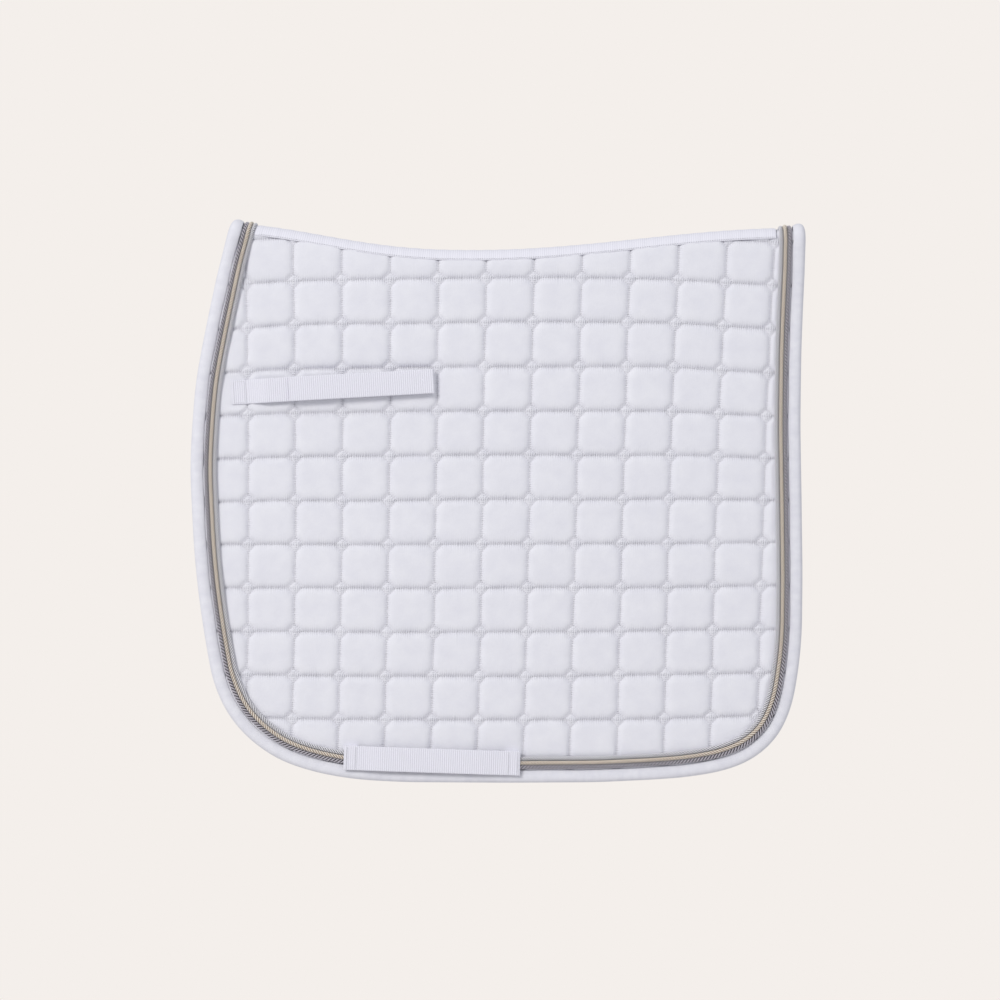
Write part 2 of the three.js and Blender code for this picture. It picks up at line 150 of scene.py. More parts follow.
def flap_outline():
    """Points (x, z) from the seam down the front, along the hem and up the rear."""
    chest_run = SEAM_Z - CHEST_Z
    corner = (FRONT_X + FRONT_CORNER_CUT, HEM_Z + FRONT_CORNER_RISE)
    side_run = CHEST_Z - corner[1]
    rear = REAR_X - REAR_WAIST
    curves = [
        bezier((FRONT_X + CHEST_CUT, SEAM_Z),
               (FRONT_X + CHEST_CUT - TOP_SLANT * 0.2 * chest_run, SEAM_Z - 0.25 * chest_run),
               (FRONT_X, CHEST_Z + 0.42 * chest_run), (FRONT_X, CHEST_Z)),
        bezier((FRONT_X, CHEST_Z), (FRONT_X, CHEST_Z - 0.37 * side_run),
               (corner[0] - 0.6 * FRONT_CORNER_CUT, corner[1] + 0.32 * side_run), corner),
        bezier(corner, (corner[0] + 0.52 * FRONT_CORNER_CUT, corner[1] - 0.45 * FRONT_CORNER_RISE),
               (FRONT_X + 0.32 * FRONT_CORNER_RUN, HEM_Z), (FRONT_X + FRONT_CORNER_RUN, HEM_Z)),
        bezier((FRONT_X + FRONT_CORNER_RUN, HEM_Z), (FRONT_X + FRONT_CORNER_RUN + 80, HEM_Z),
               (REAR_X - REAR_CORNER_RUN - 80, HEM_Z), (REAR_X - REAR_CORNER_RUN, HEM_Z)),
        bezier((REAR_X - REAR_CORNER_RUN, HEM_Z), (REAR_X - 0.46 * REAR_CORNER_RUN, HEM_Z),
               (rear, HEM_Z + 0.13 * REAR_CORNER_RISE), (rear, HEM_Z + REAR_CORNER_RISE)),
        bezier((rear, HEM_Z + REAR_CORNER_RISE), (rear, HEM_Z + 1.5 * REAR_CORNER_RISE),
               (rear, SEAM_Z - REAR_CORNER_RISE / 2), (REAR_X, SEAM_Z)),
    ]
    line = np.vstack([curves[0]] + [curve[1:] for curve in curves[1:]])
    run = np.concatenate([[0], np.cumsum(np.linalg.norm(np.diff(line, axis=0), axis=1))])
    stations = np.linspace(0, run[-1], 1200)
    line = np.column_stack([np.interp(stations, run, line[:, k]) for k in (0, 1)])
    along = np.gradient(line, axis=0)
    along /= np.linalg.norm(along, axis=1)[:, None]
    stray = np.interp(stations / run[-1], EDGE_STRAY[:, 0], EDGE_STRAY[:, 1])
    kernel = np.hanning(41) / np.hanning(41).sum()
    stray = np.convolve(np.pad(stray, 20, mode="edge"), kernel, "valid")
    return line + np.column_stack([along[:, 1], -along[:, 0]]) * stray[:, None]


class EdgePath:
    """The pad's edge from the middle of the spine at the front, round one flap, to the rear.

    Each station has a place on the outline, the inward direction there, the turn over the spine
    (0 on the flap, a quarter turn at the middle) and how far it is up the leg above the seam.
    """

    def __init__(self, step):
        turns = np.linspace(math.pi / 2, 0, max(6, round(22 / step)))
        top_z = float(wrap_line(FRONT_X + CHEST_CUT))
        rear_z = float(wrap_line(REAR_X))
        leg = np.arange(top_z, SEAM_Z, -step)[1:]
        rear_leg = np.arange(SEAM_Z, rear_z, step)[1:]
        outline = flap_outline()
        run = np.concatenate([[0], np.cumsum(np.linalg.norm(np.diff(outline, axis=0), axis=1))])
        stations = np.linspace(0, run[-1], round(run[-1] / step))
        flap_x = np.interp(stations, run, outline[:, 0])
        flap_z = np.interp(stations, run, outline[:, 1])
        self.x = np.concatenate([front_edge_above(top_z) + 0 * turns, front_edge_above(leg),
                                 flap_x, rear_edge_above(rear_leg),
                                         rear_edge_above(rear_z) + 0 * turns])
        self.z = np.concatenate([top_z + 0 * turns, leg, flap_z, rear_leg, rear_z + 0 * turns])
        self.turn = np.concatenate([turns, 0 * leg, 0 * flap_z, 0 * rear_leg, turns[::-1]])
        up_front = (leg - SEAM_Z) / (top_z - SEAM_Z)
        up_rear = (rear_leg - SEAM_Z) / (rear_z - SEAM_Z)
        self.up = np.concatenate([1 + 0 * turns, up_front, 0 * flap_z, up_rear, 1 + 0 * turns])
        self.at_front = np.arange(len(self.x)) < len(self.x) / 2
        self.top = np.where(self.at_front, top_z, rear_z)
        along = np.gradient(outline, axis=0)
        along /= np.linalg.norm(along, axis=1)[:, None]
        level = np.array([[1.0, 0.0]])
        inward = np.vstack([np.repeat(level, len(turns) + len(leg), axis=0),
                            np.column_stack([np.interp(stations, run, -along[:, 1]),
                                             np.interp(stations, run, along[:, 0])]),
                            np.repeat(-level, len(turns) + len(rear_leg), axis=0)])
        reach = max(1, round(12 / step))
        kernel = np.ones(2 * reach + 1) / (2 * reach + 1)
        padded = np.pad(inward, ((reach, reach), (0, 0)), mode="edge")
        smooth = np.column_stack([np.convolve(padded[:, k], kernel, "valid") for k in (0, 1)])
        self.inward = smooth / np.linalg.norm(smooth, axis=1)[:, None]

    def place(self, inset, out, side):
        """Points in metres at a distance in from the edge and out from the centre plane."""
        shape = np.broadcast_shapes(np.shape(inset), np.shape(out))
        per_station = (slice(None),) + (None,) * (len(shape) - 1)
        turn, up = self.turn[per_station], self.up[per_station]
        lift = out * np.sin(turn)
        slant = np.where(self.at_front[per_station] & (up > 0), TOP_SLANT, 0)
        x = self.x[per_station] + self.inward[:, 0][per_station] * inset + slant * lift
        sag = up * (wrap_line(x) - self.top[per_station])
        z = self.z[per_station] + self.inward[:, 1][per_station] * inset + lift + sag
        return np.stack([x, side * out * np.cos(turn), z], axis=-1) * MM

    def run(self, inset, out, side):
        """Distance along the line at that inset, in millimetres."""
        ones = np.ones(len(self.x))
        points = self.place(inset * ones, out * ones, side) / MM
        return np.concatenate([[0], np.cumsum(np.linalg.norm(np.diff(points, axis=0), axis=1))])


# ---- Quilting: octagons with a small diamond where their corners meet ----
FIRST_COLUMN_X = -258.3
COLUMN_PITCH = 49.3
COLUMN_TAPER = 1.34 / 409  # pitch lost per millimetre of drop
ROW_PITCH = 45.34
DIAMOND = 7.7  # half its diagonal


def wander(x, z, size, seed):
    """Smooth value between about -1 and 1 that drifts over a given size."""
    total = 0
    for k in range(4):
        angle = seed * 1.7 + k * 2.4
        wave = size * (0.7 + 0.23 * k)
        total = total + np.sin((x * math.cos(angle) + z * math.sin(angle)) * 2 * math.pi / wave
                               + seed + k)
    return total / 4


def quilt_cell(x, z):
    """Column and row numbers, whole on the seams, and the column pitch there."""
    drop = SEAM_Z - z
    pitch = COLUMN_PITCH - COLUMN_TAPER * np.clip(drop, -40, 600)
    upper = 1 - smoothstep(130, 300, drop)
    u, v = np.clip(x / 300, -1.1, 1.1), np.clip((z + 280) / 260, -1.15, 1.2)
    droop = 5.0 * upper * smoothstep(150, 300, x) + 2.0 * upper * smoothstep(-200, -290, x) + (
        3.6 - 1.14 * u - 2.21 * v - 0.26 * u * u - 0.53 * u * v - 1.25 * v * v
        - 0.15 * u**3 + 5.11 * u * u * v + 0.21 * u * v * v + 0.71 * v**3)
    x = x - (0.63 - 1.43 * u + 0.33 * v - 0.03 * u * u - 1.09 * u * v - 0.89 * v * v
             + 0.75 * u**3 - 0.88 * u * u * v + 3.6 * u * v * v + 0.6 * v**3)
    wobble_x = 0.8 * wander(x, z, 150, 1.0)
    wobble_z = 0.8 * wander(x, z, 170, 5.0)
    column = (x + wobble_x - FIRST_COLUMN_X) / pitch
    row = (drop - droop + wobble_z) / ROW_PITCH
    return column, row, pitch


def quilt_place(column, row):
    """The place (x, height) of a point given in columns and rows."""
    x = FIRST_COLUMN_X + column * COLUMN_PITCH
    z = SEAM_Z - row * ROW_PITCH
    for _ in range(6):
        found_column, found_row, pitch = quilt_cell(x, z)
        x = x + (column - found_column) * pitch
        z = z - (row - found_row) * ROW_PITCH
    return x, z


def seam_distance(column, row):
    """Distance to the nearest quilting seam, and whether the place is inside a diamond."""
    a = np.abs(column - np.round(column)) * COLUMN_PITCH
    b = np.abs(row - np.round(row)) * ROW_PITCH
    corner = (a + b - DIAMOND) / math.sqrt(2)
    return np.where(corner > 0, np.minimum(np.minimum(a, b), corner), -corner), corner < 0


class PadSizes(bpy.types.PropertyGroup):
    """Sizes that a user may change."""
    puff: bpy.props.FloatProperty(
        name="Puff", description="Height of a quilted cell over its seams, in mm",
        default=4.2, min=1, max=8)
    shoulder: bpy.props.FloatProperty(
        name="Shoulder", description="How far a cell's edge takes to rise, in mm",
        default=2.7, min=1, max=12)
    seam_level: bpy.props.FloatProperty(
        name="Seam Level", description="Cover's distance from the centre plane at a seam, in mm",
        default=11.0, min=9, max=13)
    cover_lines: bpy.props.IntProperty(
        name="Cover Lines", description="Mesh lines from a seam to the end of a diamond",
        default=6, min=2, max=8)
    stitch_pitch: bpy.props.FloatProperty(
        name="Stitch Pitch", description="Distance from stitch to stitch, in mm", default=2.3,
                min=1, max=5)
    twist: bpy.props.FloatProperty(
        name="Twist", description="How long the cords' strands take to turn, 1 as sewn",
        default=1.0, min=0.5, max=3, subtype="FACTOR")
    rib_pitch: bpy.props.FloatProperty(
        name="Rib Pitch", description="Distance between webbing ribs, in mm", default=2.2,
                min=0.5, max=4)


def colour(name, default, about):
    return bpy.props.FloatVectorProperty(
        name=name, description=about, subtype="COLOR", size=3, min=0, max=1, default=default)


class PadColours(bpy.types.PropertyGroup):
    """Colours that a user may change."""
    cotton: colour("Cotton", (0.81, 0.805, 0.855), "Quilted cover and binding")
    lining: colour("Lining", (0.76, 0.76, 0.79), "Inside of the pad")
    foam: colour("Foam", (0.78, 0.74, 0.58), "Core of the panels")
    webbing: colour("Webbing", (0.86, 0.85, 0.92), "Straps and spine tape")
    dark_yarn: colour("Dark Yarn", (0.53, 0.50, 0.55), "Outer cord")
    champagne_yarn: colour("Champagne Yarn", (1.0, 0.85, 0.73), "Middle cord")
    silver_yarn: colour("Silver Yarn", (0.84, 0.83, 0.86), "Inner cord")
    thread: colour("Thread", (0.84, 0.84, 0.87), "Sewing thread")


# ---- Meshes ----
def make_object(name, points, quads, corners=(), uv=None, smooth=True):
    """An object from points in metres, four-sided faces, any other faces, and UVs.

    The UVs are one for each point, or one for each corner of the four-sided faces."""
    mesh = bpy.data.meshes.new(name)
    quads = np.asarray(quads, np.int32).reshape(-1, 4)
    extra = [len(face) for face in corners]
    loops = np.concatenate([quads.ravel()] + [np.asarray(face, np.int32) for face in corners])
    totals = np.concatenate([np.full(len(quads), 4), np.array(extra, int)]).astype(np.int32)
    starts = np.concatenate([[0], np.cumsum(totals)[:-1]]).astype(np.int32)
    mesh.vertices.add(len(points))
    mesh.vertices.foreach_set("co", np.asarray(points, np.float32).ravel())
    mesh.loops.add(len(loops))
    mesh.loops.foreach_set("vertex_index", loops.astype(np.int32))
    mesh.polygons.add(len(totals))
    mesh.polygons.foreach_set("loop_start", starts)
    mesh.polygons.foreach_set("loop_total", totals)
    if uv is not None:
        layer = mesh.uv_layers.new(name="Along")
        values = np.zeros((len(loops), 2), np.float32)
        if len(uv) == len(points):
            values[:] = uv[loops]
        else:
            values[: len(uv)] = uv
        layer.data.foreach_set("uv", values.ravel())
    mesh.update(calc_edges=True)
    mesh.validate()
    mesh.polygons.foreach_set("use_smooth", np.full(len(mesh.polygons), smooth))
    made = bpy.data.objects.new(name, mesh)
    bpy.context.scene.collection.objects.link(made)
    return made


def signed_volume(points, quads):
    a, b, c, d = (points[quads[:, k]] for k in range(4))
    return np.sum(np.cross(b - a, c - a) * a) + np.sum(np.cross(c - a, d - a) * a)


def tube_faces(rows, ring):
    """Faces that join each ring of points to the next, and the two end caps."""
    i, k = np.meshgrid(np.arange(rows - 1), np.arange(ring), indexing="ij")
    after = (k + 1) % ring
    quads = np.stack([i * ring + k, i * ring + after, (i + 1) * ring + after,
            (i + 1) * ring + k], -1)
    first = list(range(ring))[::-1]
    last = list(range((rows - 1) * ring, rows * ring))
    return quads.reshape(-1, 4), [first, last]


def make_tubes(name, tubes, runs=None):
    """One object of closed tubes. Each is an array (rows, ring, 3) in metres."""
    points, quads, caps, uvs, base = [], [], [], [], 0
    for index, grid in enumerate(tubes):
        rows, ring = grid.shape[:2]
        flat = grid.reshape(-1, 3)
        faces, ends = tube_faces(rows, ring)
        run = np.arange(rows) if runs is None else runs[index]
        i, k = np.meshgrid(np.arange(rows - 1), np.arange(ring), indexing="ij")
        u = np.stack([run[i], run[i], run[i + 1], run[i + 1]], -1).reshape(-1, 4)
        v = np.stack([k, k + 1, k + 1, k], -1).reshape(-1, 4) / ring
        if signed_volume(flat, faces) < 0:
            faces, u, v = faces[:, ::-1], u[:, ::-1], v[:, ::-1]
            ends = [face[::-1] for face in ends]
        points.append(flat)
        quads.append(faces + base)
        caps += [[corner + base for corner in face] for face in ends]
        uvs.append(np.stack([u, v], -1).reshape(-1, 2))
        base += len(flat)
    return make_object(name, np.vstack(points), np.vstack(quads), caps, np.vstack(uvs))


# ---- Panels ----
TURN_RADIUS = 12.0  # for the quilting's run over the spine
BILLET_ORIGIN = np.array([-274.0, -138.0])
BILLET_TILT = math.radians(3.2)
GIRTH_MIDDLE = np.array([-67.1, -517.6])
GIRTH_TILT = math.radians(-1.9)
STRAP_WIDE = 25.0
EDGE_CLEAR = 27.6  # inner edge of the cords, from the outline


def edge_line():
    """Dense points (x, z) on the outline, going on up past the spine, and the inward directions."""
    outline = flap_outline()
    up = np.linspace(70, 0, 200)[:-1, None]
    front = np.hstack([front_edge_above(SEAM_Z + up), SEAM_Z + up])
    rear = np.hstack([rear_edge_above(SEAM_Z + up), SEAM_Z + up])[::-1]
    points = np.vstack([front, outline, rear])
    run = np.concatenate([[0], np.cumsum(np.linalg.norm(np.diff(points, axis=0), axis=1))])
    stations = np.linspace(0, run[-1], 3200)
    points = np.column_stack([np.interp(stations, run, points[:, k]) for k in (0, 1)])
    along = np.gradient(points, axis=0)
    along /= np.linalg.norm(along, axis=1)[:, None]
    return points, np.column_stack([-along[:, 1], along[:, 0]])


def press(x, z, corner_low, corner_high, margin):
    """1 inside a rectangle, falling to 0 at a margin outside it."""
    dx = np.maximum(np.maximum(corner_low[0] - x, x - corner_high[0]), 0)
    dz = np.maximum(np.maximum(corner_low[1] - z, z - corner_high[1]), 0)
    return 1 - smoothstep(0, margin, np.hypot(dx, dz))


def sewn_places():
    """Rectangles (x, z) where a strap's end is sewn down on the cover."""
    for node in ("near_billet_sewn_end", "near_girth_fold_front", "near_girth_fold_rear"):
        low, high = node_box(node)
        yield (low[0], low[2]), (high[0], high[2])


class PanelGrid:
    """A grid on the quilting's own lines over one side, from the spine down to the hem."""

    def __init__(self, offsets, inset=6.0):
        """The offsets are a half cell's mesh lines, as parts of a whole cell."""
        self.cell = 2 * len(offsets)
        steps = np.concatenate([[0], offsets, (1 - offsets[::-1])[1:]])
        columns = (np.arange(-2, 13)[:, None] + steps).ravel()
        rows = (np.arange(-2, 13)[:, None] + steps).ravel()
        self.column, self.row = np.meshgrid(columns, rows)
        self.x, height = quilt_place(self.column, self.row)
        top = wrap_line(self.x)
        self.turn = np.clip((height - top) / TURN_RADIUS, 0, math.pi / 2)
        self.z = np.minimum(height, top)
        self.ridge = top + TURN_RADIUS * math.pi / 2 - height
        self.edge_distance()
        inside = (self.inset > 0.75 * inset) & (self.ridge > 1.0)
        self.keep = inside[:-1, :-1] & inside[1:, :-1] & inside[:-1, 1:] & inside[1:, 1:]
        self.used = self.corners_of(self.keep)
        self.snap(inset)

    def seen_height(self):
        return self.z + TURN_RADIUS * np.sin(self.turn)

    def edge_distance(self):
        points, inward = edge_line()
        tree = KDTree(len(points))
        for index, (x, z) in enumerate(points):
            tree.insert((x, z, 0), index)
        tree.balance()
        seen = self.seen_height()
        near = np.array([tree.find((x, z, 0))[1] for x, z in zip(self.x.ravel(), seen.ravel())])
        gap = np.column_stack([self.x.ravel(), seen.ravel()]) - points[near]
        self.inset = np.sum(gap * inward[near], axis=1).reshape(self.x.shape)
        self.nearest = near.reshape(self.x.shape)
        self.edge_points, self.edge_inward = points, inward

    @staticmethod
    def corners_of(keep):
        used = np.zeros((keep.shape[0] + 1, keep.shape[1] + 1), bool)
        for down in (0, 1):
            for right in (0, 1):
                used[down: down + keep.shape[0], right: right + keep.shape[1]] |= keep
        return used

    def snap(self, inset):
        """Moves the rim onto the line at an inset, and the top points onto the spine's middle."""
        pad = np.pad(self.keep, 1)
        all_round = pad[:-1, :-1] & pad[1:, :-1] & pad[:-1, 1:] & pad[1:, 1:]
        rim = self.used & ~all_round
        top = rim & (self.ridge < 9) & (self.inset > inset + 4)
        self.turn = np.where(top, math.pi / 2 - 0.012, self.turn)
        side = rim & ~top
        target = self.edge_points[self.nearest] + self.edge_inward[self.nearest] * inset
        self.x = np.where(side, target[..., 0], self.x)
        below = side & (self.turn == 0)
        self.z = np.where(below, np.minimum(target[..., 1], wrap_line(self.x)), self.z)
        ends = side & (self.ridge < 9)
        self.turn = np.where(ends, math.pi / 2 - 0.012, self.turn)
        self.z = np.where(self.turn > 0, wrap_line(self.x), self.z)
        self.inset = np.where(side, inset, self.inset)

    def place(self, out, side):
        lift = out * np.sin(self.turn)
        return np.stack([self.x, side * out * np.cos(self.turn), self.z + lift], -1) * MM

    def plain_blocks(self):
        """Index ranges of whole cells on the flat of the flap, well below the seam."""
        size = self.cell
        for i in range(0, self.keep.shape[0] - size + 1, size):
            for k in range(0, self.keep.shape[1] - size + 1, size):
                if self.keep[i: i + size, k: k + size].all() and self.z[i, k: k + size].max() < -62:
                    yield i, k

    def shell(self, name, outer, inner, side, plain_back=False):
        """A closed skin: the outer face, the inner face and a wall round the rim."""
        keep, shape = self.keep, self.x.shape
        number = np.full(shape, -1)
        number[self.used] = np.arange(np.count_nonzero(self.used))
        back_keep, faces = keep.copy(), []
        if plain_back:
            for i, k in self.plain_blocks():
                back_keep[i: i + self.cell, k: k + self.cell] = False
                faces.append((i, k))
        pad = np.pad(self.keep, 1)
        full = pad[:-1, :-1] & pad[1:, :-1] & pad[:-1, 1:] & pad[1:, 1:]
        back_used = self.corners_of(back_keep) | (self.used & ~full)
        for i, k in faces:
            size = self.cell
            back_used[i: i + size + 1, [k, k + size]] = True
            back_used[[i, i + size], k: k + size + 1] = True
        back_number = np.full(shape, -1)
        count = np.count_nonzero(self.used)
        back_number[back_used] = count + np.arange(np.count_nonzero(back_used))

        def quads_of(ids, mask):
            return np.stack([ids[:-1, :-1][mask], ids[:-1, 1:][mask],
                             ids[1:, 1:][mask], ids[1:, :-1][mask]], -1)

        front = quads_of(number, keep)
        back = quads_of(back_number, back_keep)[:, ::-1]
        walls = []
        steps = (((0, 0), (0, 1), pad[:-2, 1:-1]), ((0, 1), (1, 1), pad[1:-1, 2:]),
                 ((1, 1), (1, 0), pad[2:, 1:-1]), ((1, 0), (0, 0), pad[1:-1, :-2]))
        for start, end, beyond in steps:
            i, k = np.nonzero(keep & ~beyond)
            a, b = (i + start[0], k + start[1]), (i + end[0], k + end[1])
            walls.append(np.stack([number[b], number[a], back_number[a], back_number[b]], -1))
        blocks = []
        for i, k in faces:
            size = self.cell
            ring = ([(i, k + n) for n in range(size)] + [(i + n, k + size) for n in range(size)]
                    + [(i + size, k + size - n) for n in range(size)]
                    + [(i + size - n, k) for n in range(size)])
            blocks.append([int(back_number[corner]) for corner in ring][::-1])
        points = np.vstack([self.place(outer, side)[self.used], self.place(inner, side)[back_used]])
        quilt = np.stack([self.column, self.row], -1)
        uv = np.vstack([quilt[self.used], quilt[back_used]])
        quads = np.vstack([front, back] + walls)
        if side > 0:
            quads = quads[:, ::-1]
            blocks = [face[::-1] for face in blocks]
        return make_object(name, points, quads, blocks, uv)


def half_cell(fine_steps, reach, coarse):
    """Mesh lines of a half cell, as parts of a cell: even ones to a reach, then the given ones."""
    fine = np.linspace(0, reach / COLUMN_PITCH, fine_steps + 1)[1:]
    return np.concatenate([fine, np.array(coarse)])


def cover_out(sizes, column, row, x, z, lift_height, inset):
    """Distance of the cover's outer face from the centre plane."""
    distance, in_diamond = seam_distance(column, row)
    rise = 1 - np.exp(-((np.maximum(distance, 0) / sizes.shoulder) ** 1.15))
    crown = 0.5 * (1 - np.exp(-distance / 11))
    cell = np.floor(column) * 7.13 + np.floor(row) * 3.71
    uneven = 1 + 0.07 * np.sin(cell * 5.3)
    dome = 0.5 * (1 - np.exp(-((np.maximum(distance, 0) / 1.6) ** 1.3)))
    puff = (sizes.puff - 0.5) * np.where(in_diamond, dome, rise * uneven) + crown
    puff = puff + rise * (0.16 * wander(x, z, 17, 2.0) + 0.2 * wander(x, z, 41, 7.0))
    out = sizes.seam_level + puff
    flat = COVER_OUT + 0.0 * out
    tape_edge = TAPE_HIGH[1] * math.sin(math.radians(10))
    free = smoothstep(EDGE_CLEAR - 1.2, EDGE_CLEAR + 4, inset)
    free = free * smoothstep(-3.0, 4.0, wrap_line(x) + tape_edge - lift_height)
    for low, high in sewn_places():
        free = free * (1 - press(x, z, (low[0] - 1.5, low[1] - 1.5),
                (high[0] + 1.5, high[1] + 1.5), 5))
    out = out * free + np.minimum(out, flat) * (1 - free)
    low, high = node_box("near_billet_strap")
    under = press(x, z, (low[0], low[2]), (high[0], high[2]), 6)
    return out - under * np.maximum(out - 14.6, 0)


def cross_seam(piece):
    """Bakes a piece's placement into its mesh."""
    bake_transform(piece)


def finish_piece(piece, material, nodes=()):
    piece.data.materials.append(material)
    if nodes:
        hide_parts(*nodes)


# ---- Materials ----
class Tree:
    """Short ways to add and link shader nodes."""

    def __init__(self, tree):
        self.tree = tree

    def add(self, kind, inputs=(), **settings):
        node = self.tree.nodes.new(kind)
        for key, value in settings.items():
            setattr(node, key, value)
        for key, value in dict(inputs).items():
            self.feed(value, node.inputs[key])
        return node

    def feed(self, value, socket):
        if isinstance(value, bpy.types.NodeSocket):
            self.tree.links.new(value, socket)
        elif value is not None:
            socket.default_value = value

    def math(self, operation, a, b=None, c=None):
        node = self.add("ShaderNodeMath", operation=operation)
        for value, socket in zip((a, b, c), node.inputs):
            self.feed(value, socket)
        return node.outputs[0]

    def mix(self, share, a, b):
        node = self.add("ShaderNodeMix", data_type="RGBA")
        self.feed(share, node.inputs["Factor"])
        self.feed(a, node.inputs[6])
        self.feed(b, node.inputs[7])
        return node.outputs[2]

    def mask(self, value, low, high, start=0.0, end=1.0):
        node = self.add("ShaderNodeMapRange", {"Value": value, "From Min": low, "From Max": high,
                                               "To Min": start, "To Max": end}, clamp=True)
        return node.outputs[0]


def new_group(name, inputs, outputs):
    group = bpy.data.node_groups.new(name, "ShaderNodeTree")
    for label, kind, value in inputs:
        socket = group.interface.new_socket(label, in_out="INPUT", socket_type=kind)
        if value is not None:
            socket.default_value = value
    for label, kind in outputs:
        group.interface.new_socket(label, in_out="OUTPUT", socket_type=kind)
    tree = Tree(group)
    return group, tree, tree.add("NodeGroupInput").outputs, tree.add("NodeGroupOutput").inputs


def weave_group():
    """Plain weave with slubs: two crossing waves, broken up by noise."""
    group = bpy.data.node_groups.get("Weave")
    if group:
        return group
    group, t, given, wanted = new_group(
        "Weave", [("Vector", "NodeSocketVector", None), ("Pitch", "NodeSocketFloat", 0.6)],
        [("Height", "NodeSocketFloat"), ("Tint", "NodeSocketFloat")])
    scale = t.math("DIVIDE", math.pi * 1000, given["Pitch"])
    parts = t.add("ShaderNodeSeparateXYZ", {"Vector": given["Vector"]}).outputs
    across = t.math("SINE", t.math("MULTIPLY", parts["X"], scale))
    down = t.math("SINE", t.math("MULTIPLY", parts["Z"], scale))
    weave = t.math("ABSOLUTE", t.math("MULTIPLY", across, down))
    fuzz = t.add("ShaderNodeTexNoise", {"Vector": given["Vector"], "Scale": 900.0, "Detail": 3.0})
    slub = t.add("ShaderNodeTexNoise", {"Vector": given["Vector"], "Scale": 60.0, "Detail": 4.0})
    height = t.math("MULTIPLY_ADD", fuzz.outputs["Fac"], 0.8, t.math("MULTIPLY", weave, 0.5))
    t.feed(t.math("MULTIPLY", height, 0.7), wanted["Height"])
    t.feed(slub.outputs["Fac"], wanted["Tint"])
    return group


def quilt_group():
    """Seam creases and the small puckers that the stitches pull up, on the quilting's UV map."""
    group = bpy.data.node_groups.get("Quilt Seams")
    if group:
        return group
    group, t, given, wanted = new_group(
        "Quilt Seams", [("Quilt", "NodeSocketVector", None),
                ("Pucker Pitch", "NodeSocketFloat", 2.3)],
        [("Height", "NodeSocketFloat"), ("Seam", "NodeSocketFloat"), ("Pucker", "NodeSocketFloat")])
    parts = t.add("ShaderNodeSeparateXYZ", {"Vector": given["Quilt"]}).outputs
    signed = []
    for axis, pitch in (("X", COLUMN_PITCH), ("Y", ROW_PITCH)):
        part = t.math("SUBTRACT", t.math("FRACT", t.math("ADD", parts[axis], 0.5)), 0.5)
        signed.append(t.math("MULTIPLY", part, pitch))
    across, down = signed
    a, b = t.math("ABSOLUTE", across), t.math("ABSOLUTE", down)
    corner = t.math("DIVIDE", t.math("SUBTRACT", t.math("ADD", a, b), DIAMOND), math.sqrt(2))
    straight = t.math("MINIMUM", a, b)
    inside = t.math("LESS_THAN", corner, 0.0)
    outer = t.math("MINIMUM", straight, corner)
    distance = t.math("ADD", t.math("MULTIPLY", outer, t.math("SUBTRACT", 1.0, inside)),
                      t.math("MULTIPLY", t.math("ABSOLUTE", corner), inside))
    drift = t.add("ShaderNodeTexNoise", {"Vector": given["Quilt"], "Scale": 9.0, "Detail": 2.0})
    phase = t.math("MULTIPLY", drift.outputs["Fac"], 7.0)
    turn = t.math("DIVIDE", 2 * math.pi, given["Pucker Pitch"])
    waves = []
    for run in (across, down, t.math("DIVIDE", t.math("SUBTRACT", a, b), math.sqrt(2))):
        waves.append(t.math("SINE", t.math("MULTIPLY_ADD", run, turn, phase)))
    reach = t.math("ADD", t.math("EXPONENT", t.math("MULTIPLY", b, -0.8)),
                   t.math("MULTIPLY", t.math("EXPONENT", t.math("MULTIPLY", b, -0.16)), 0.35))
    along_row = t.math("MULTIPLY", waves[0], reach)
    along_column = t.math("MULTIPLY", waves[1], t.math("EXPONENT", t.math("MULTIPLY", a, -0.55)))
    round_corner = t.math(
        "MULTIPLY", waves[2], t.math("EXPONENT",
                t.math("MULTIPLY", t.math("ABSOLUTE", corner), -0.7)))
    ripple = t.math("ADD", t.math("ADD", along_row, t.math("MULTIPLY", along_column, 0.7)),
                    t.math("MULTIPLY", round_corner, 0.5))
    patchy = t.add("ShaderNodeTexNoise", {"Vector": given["Quilt"], "Scale": 3.1, "Detail": 3.0})
    ripple = t.math("MULTIPLY", ripple, t.mask(patchy.outputs["Fac"], 0.35, 0.6, 0.5, 1.0))
    crease = t.math("EXPONENT", t.math("MULTIPLY", distance, -2.6))
    wrinkle = t.add("ShaderNodeTexNoise", {"Vector": given["Quilt"], "Scale": 7.0, "Detail": 5.0,
                                           "Distortion": 0.6})
    height = t.math("MULTIPLY_ADD", ripple, 0.75, t.math("MULTIPLY", wrinkle.outputs["Fac"], 0.5))
    t.feed(t.math("SUBTRACT", height, t.math("MULTIPLY", crease, 0.35)), wanted["Height"])
    # Seam is a crease mask and Pucker the stitch ripple; the cotton uses both for painted shade in
    # the seams and in the pucker troughs
    t.feed(crease, wanted["Seam"])
    t.feed(ripple, wanted["Pucker"])
    return group


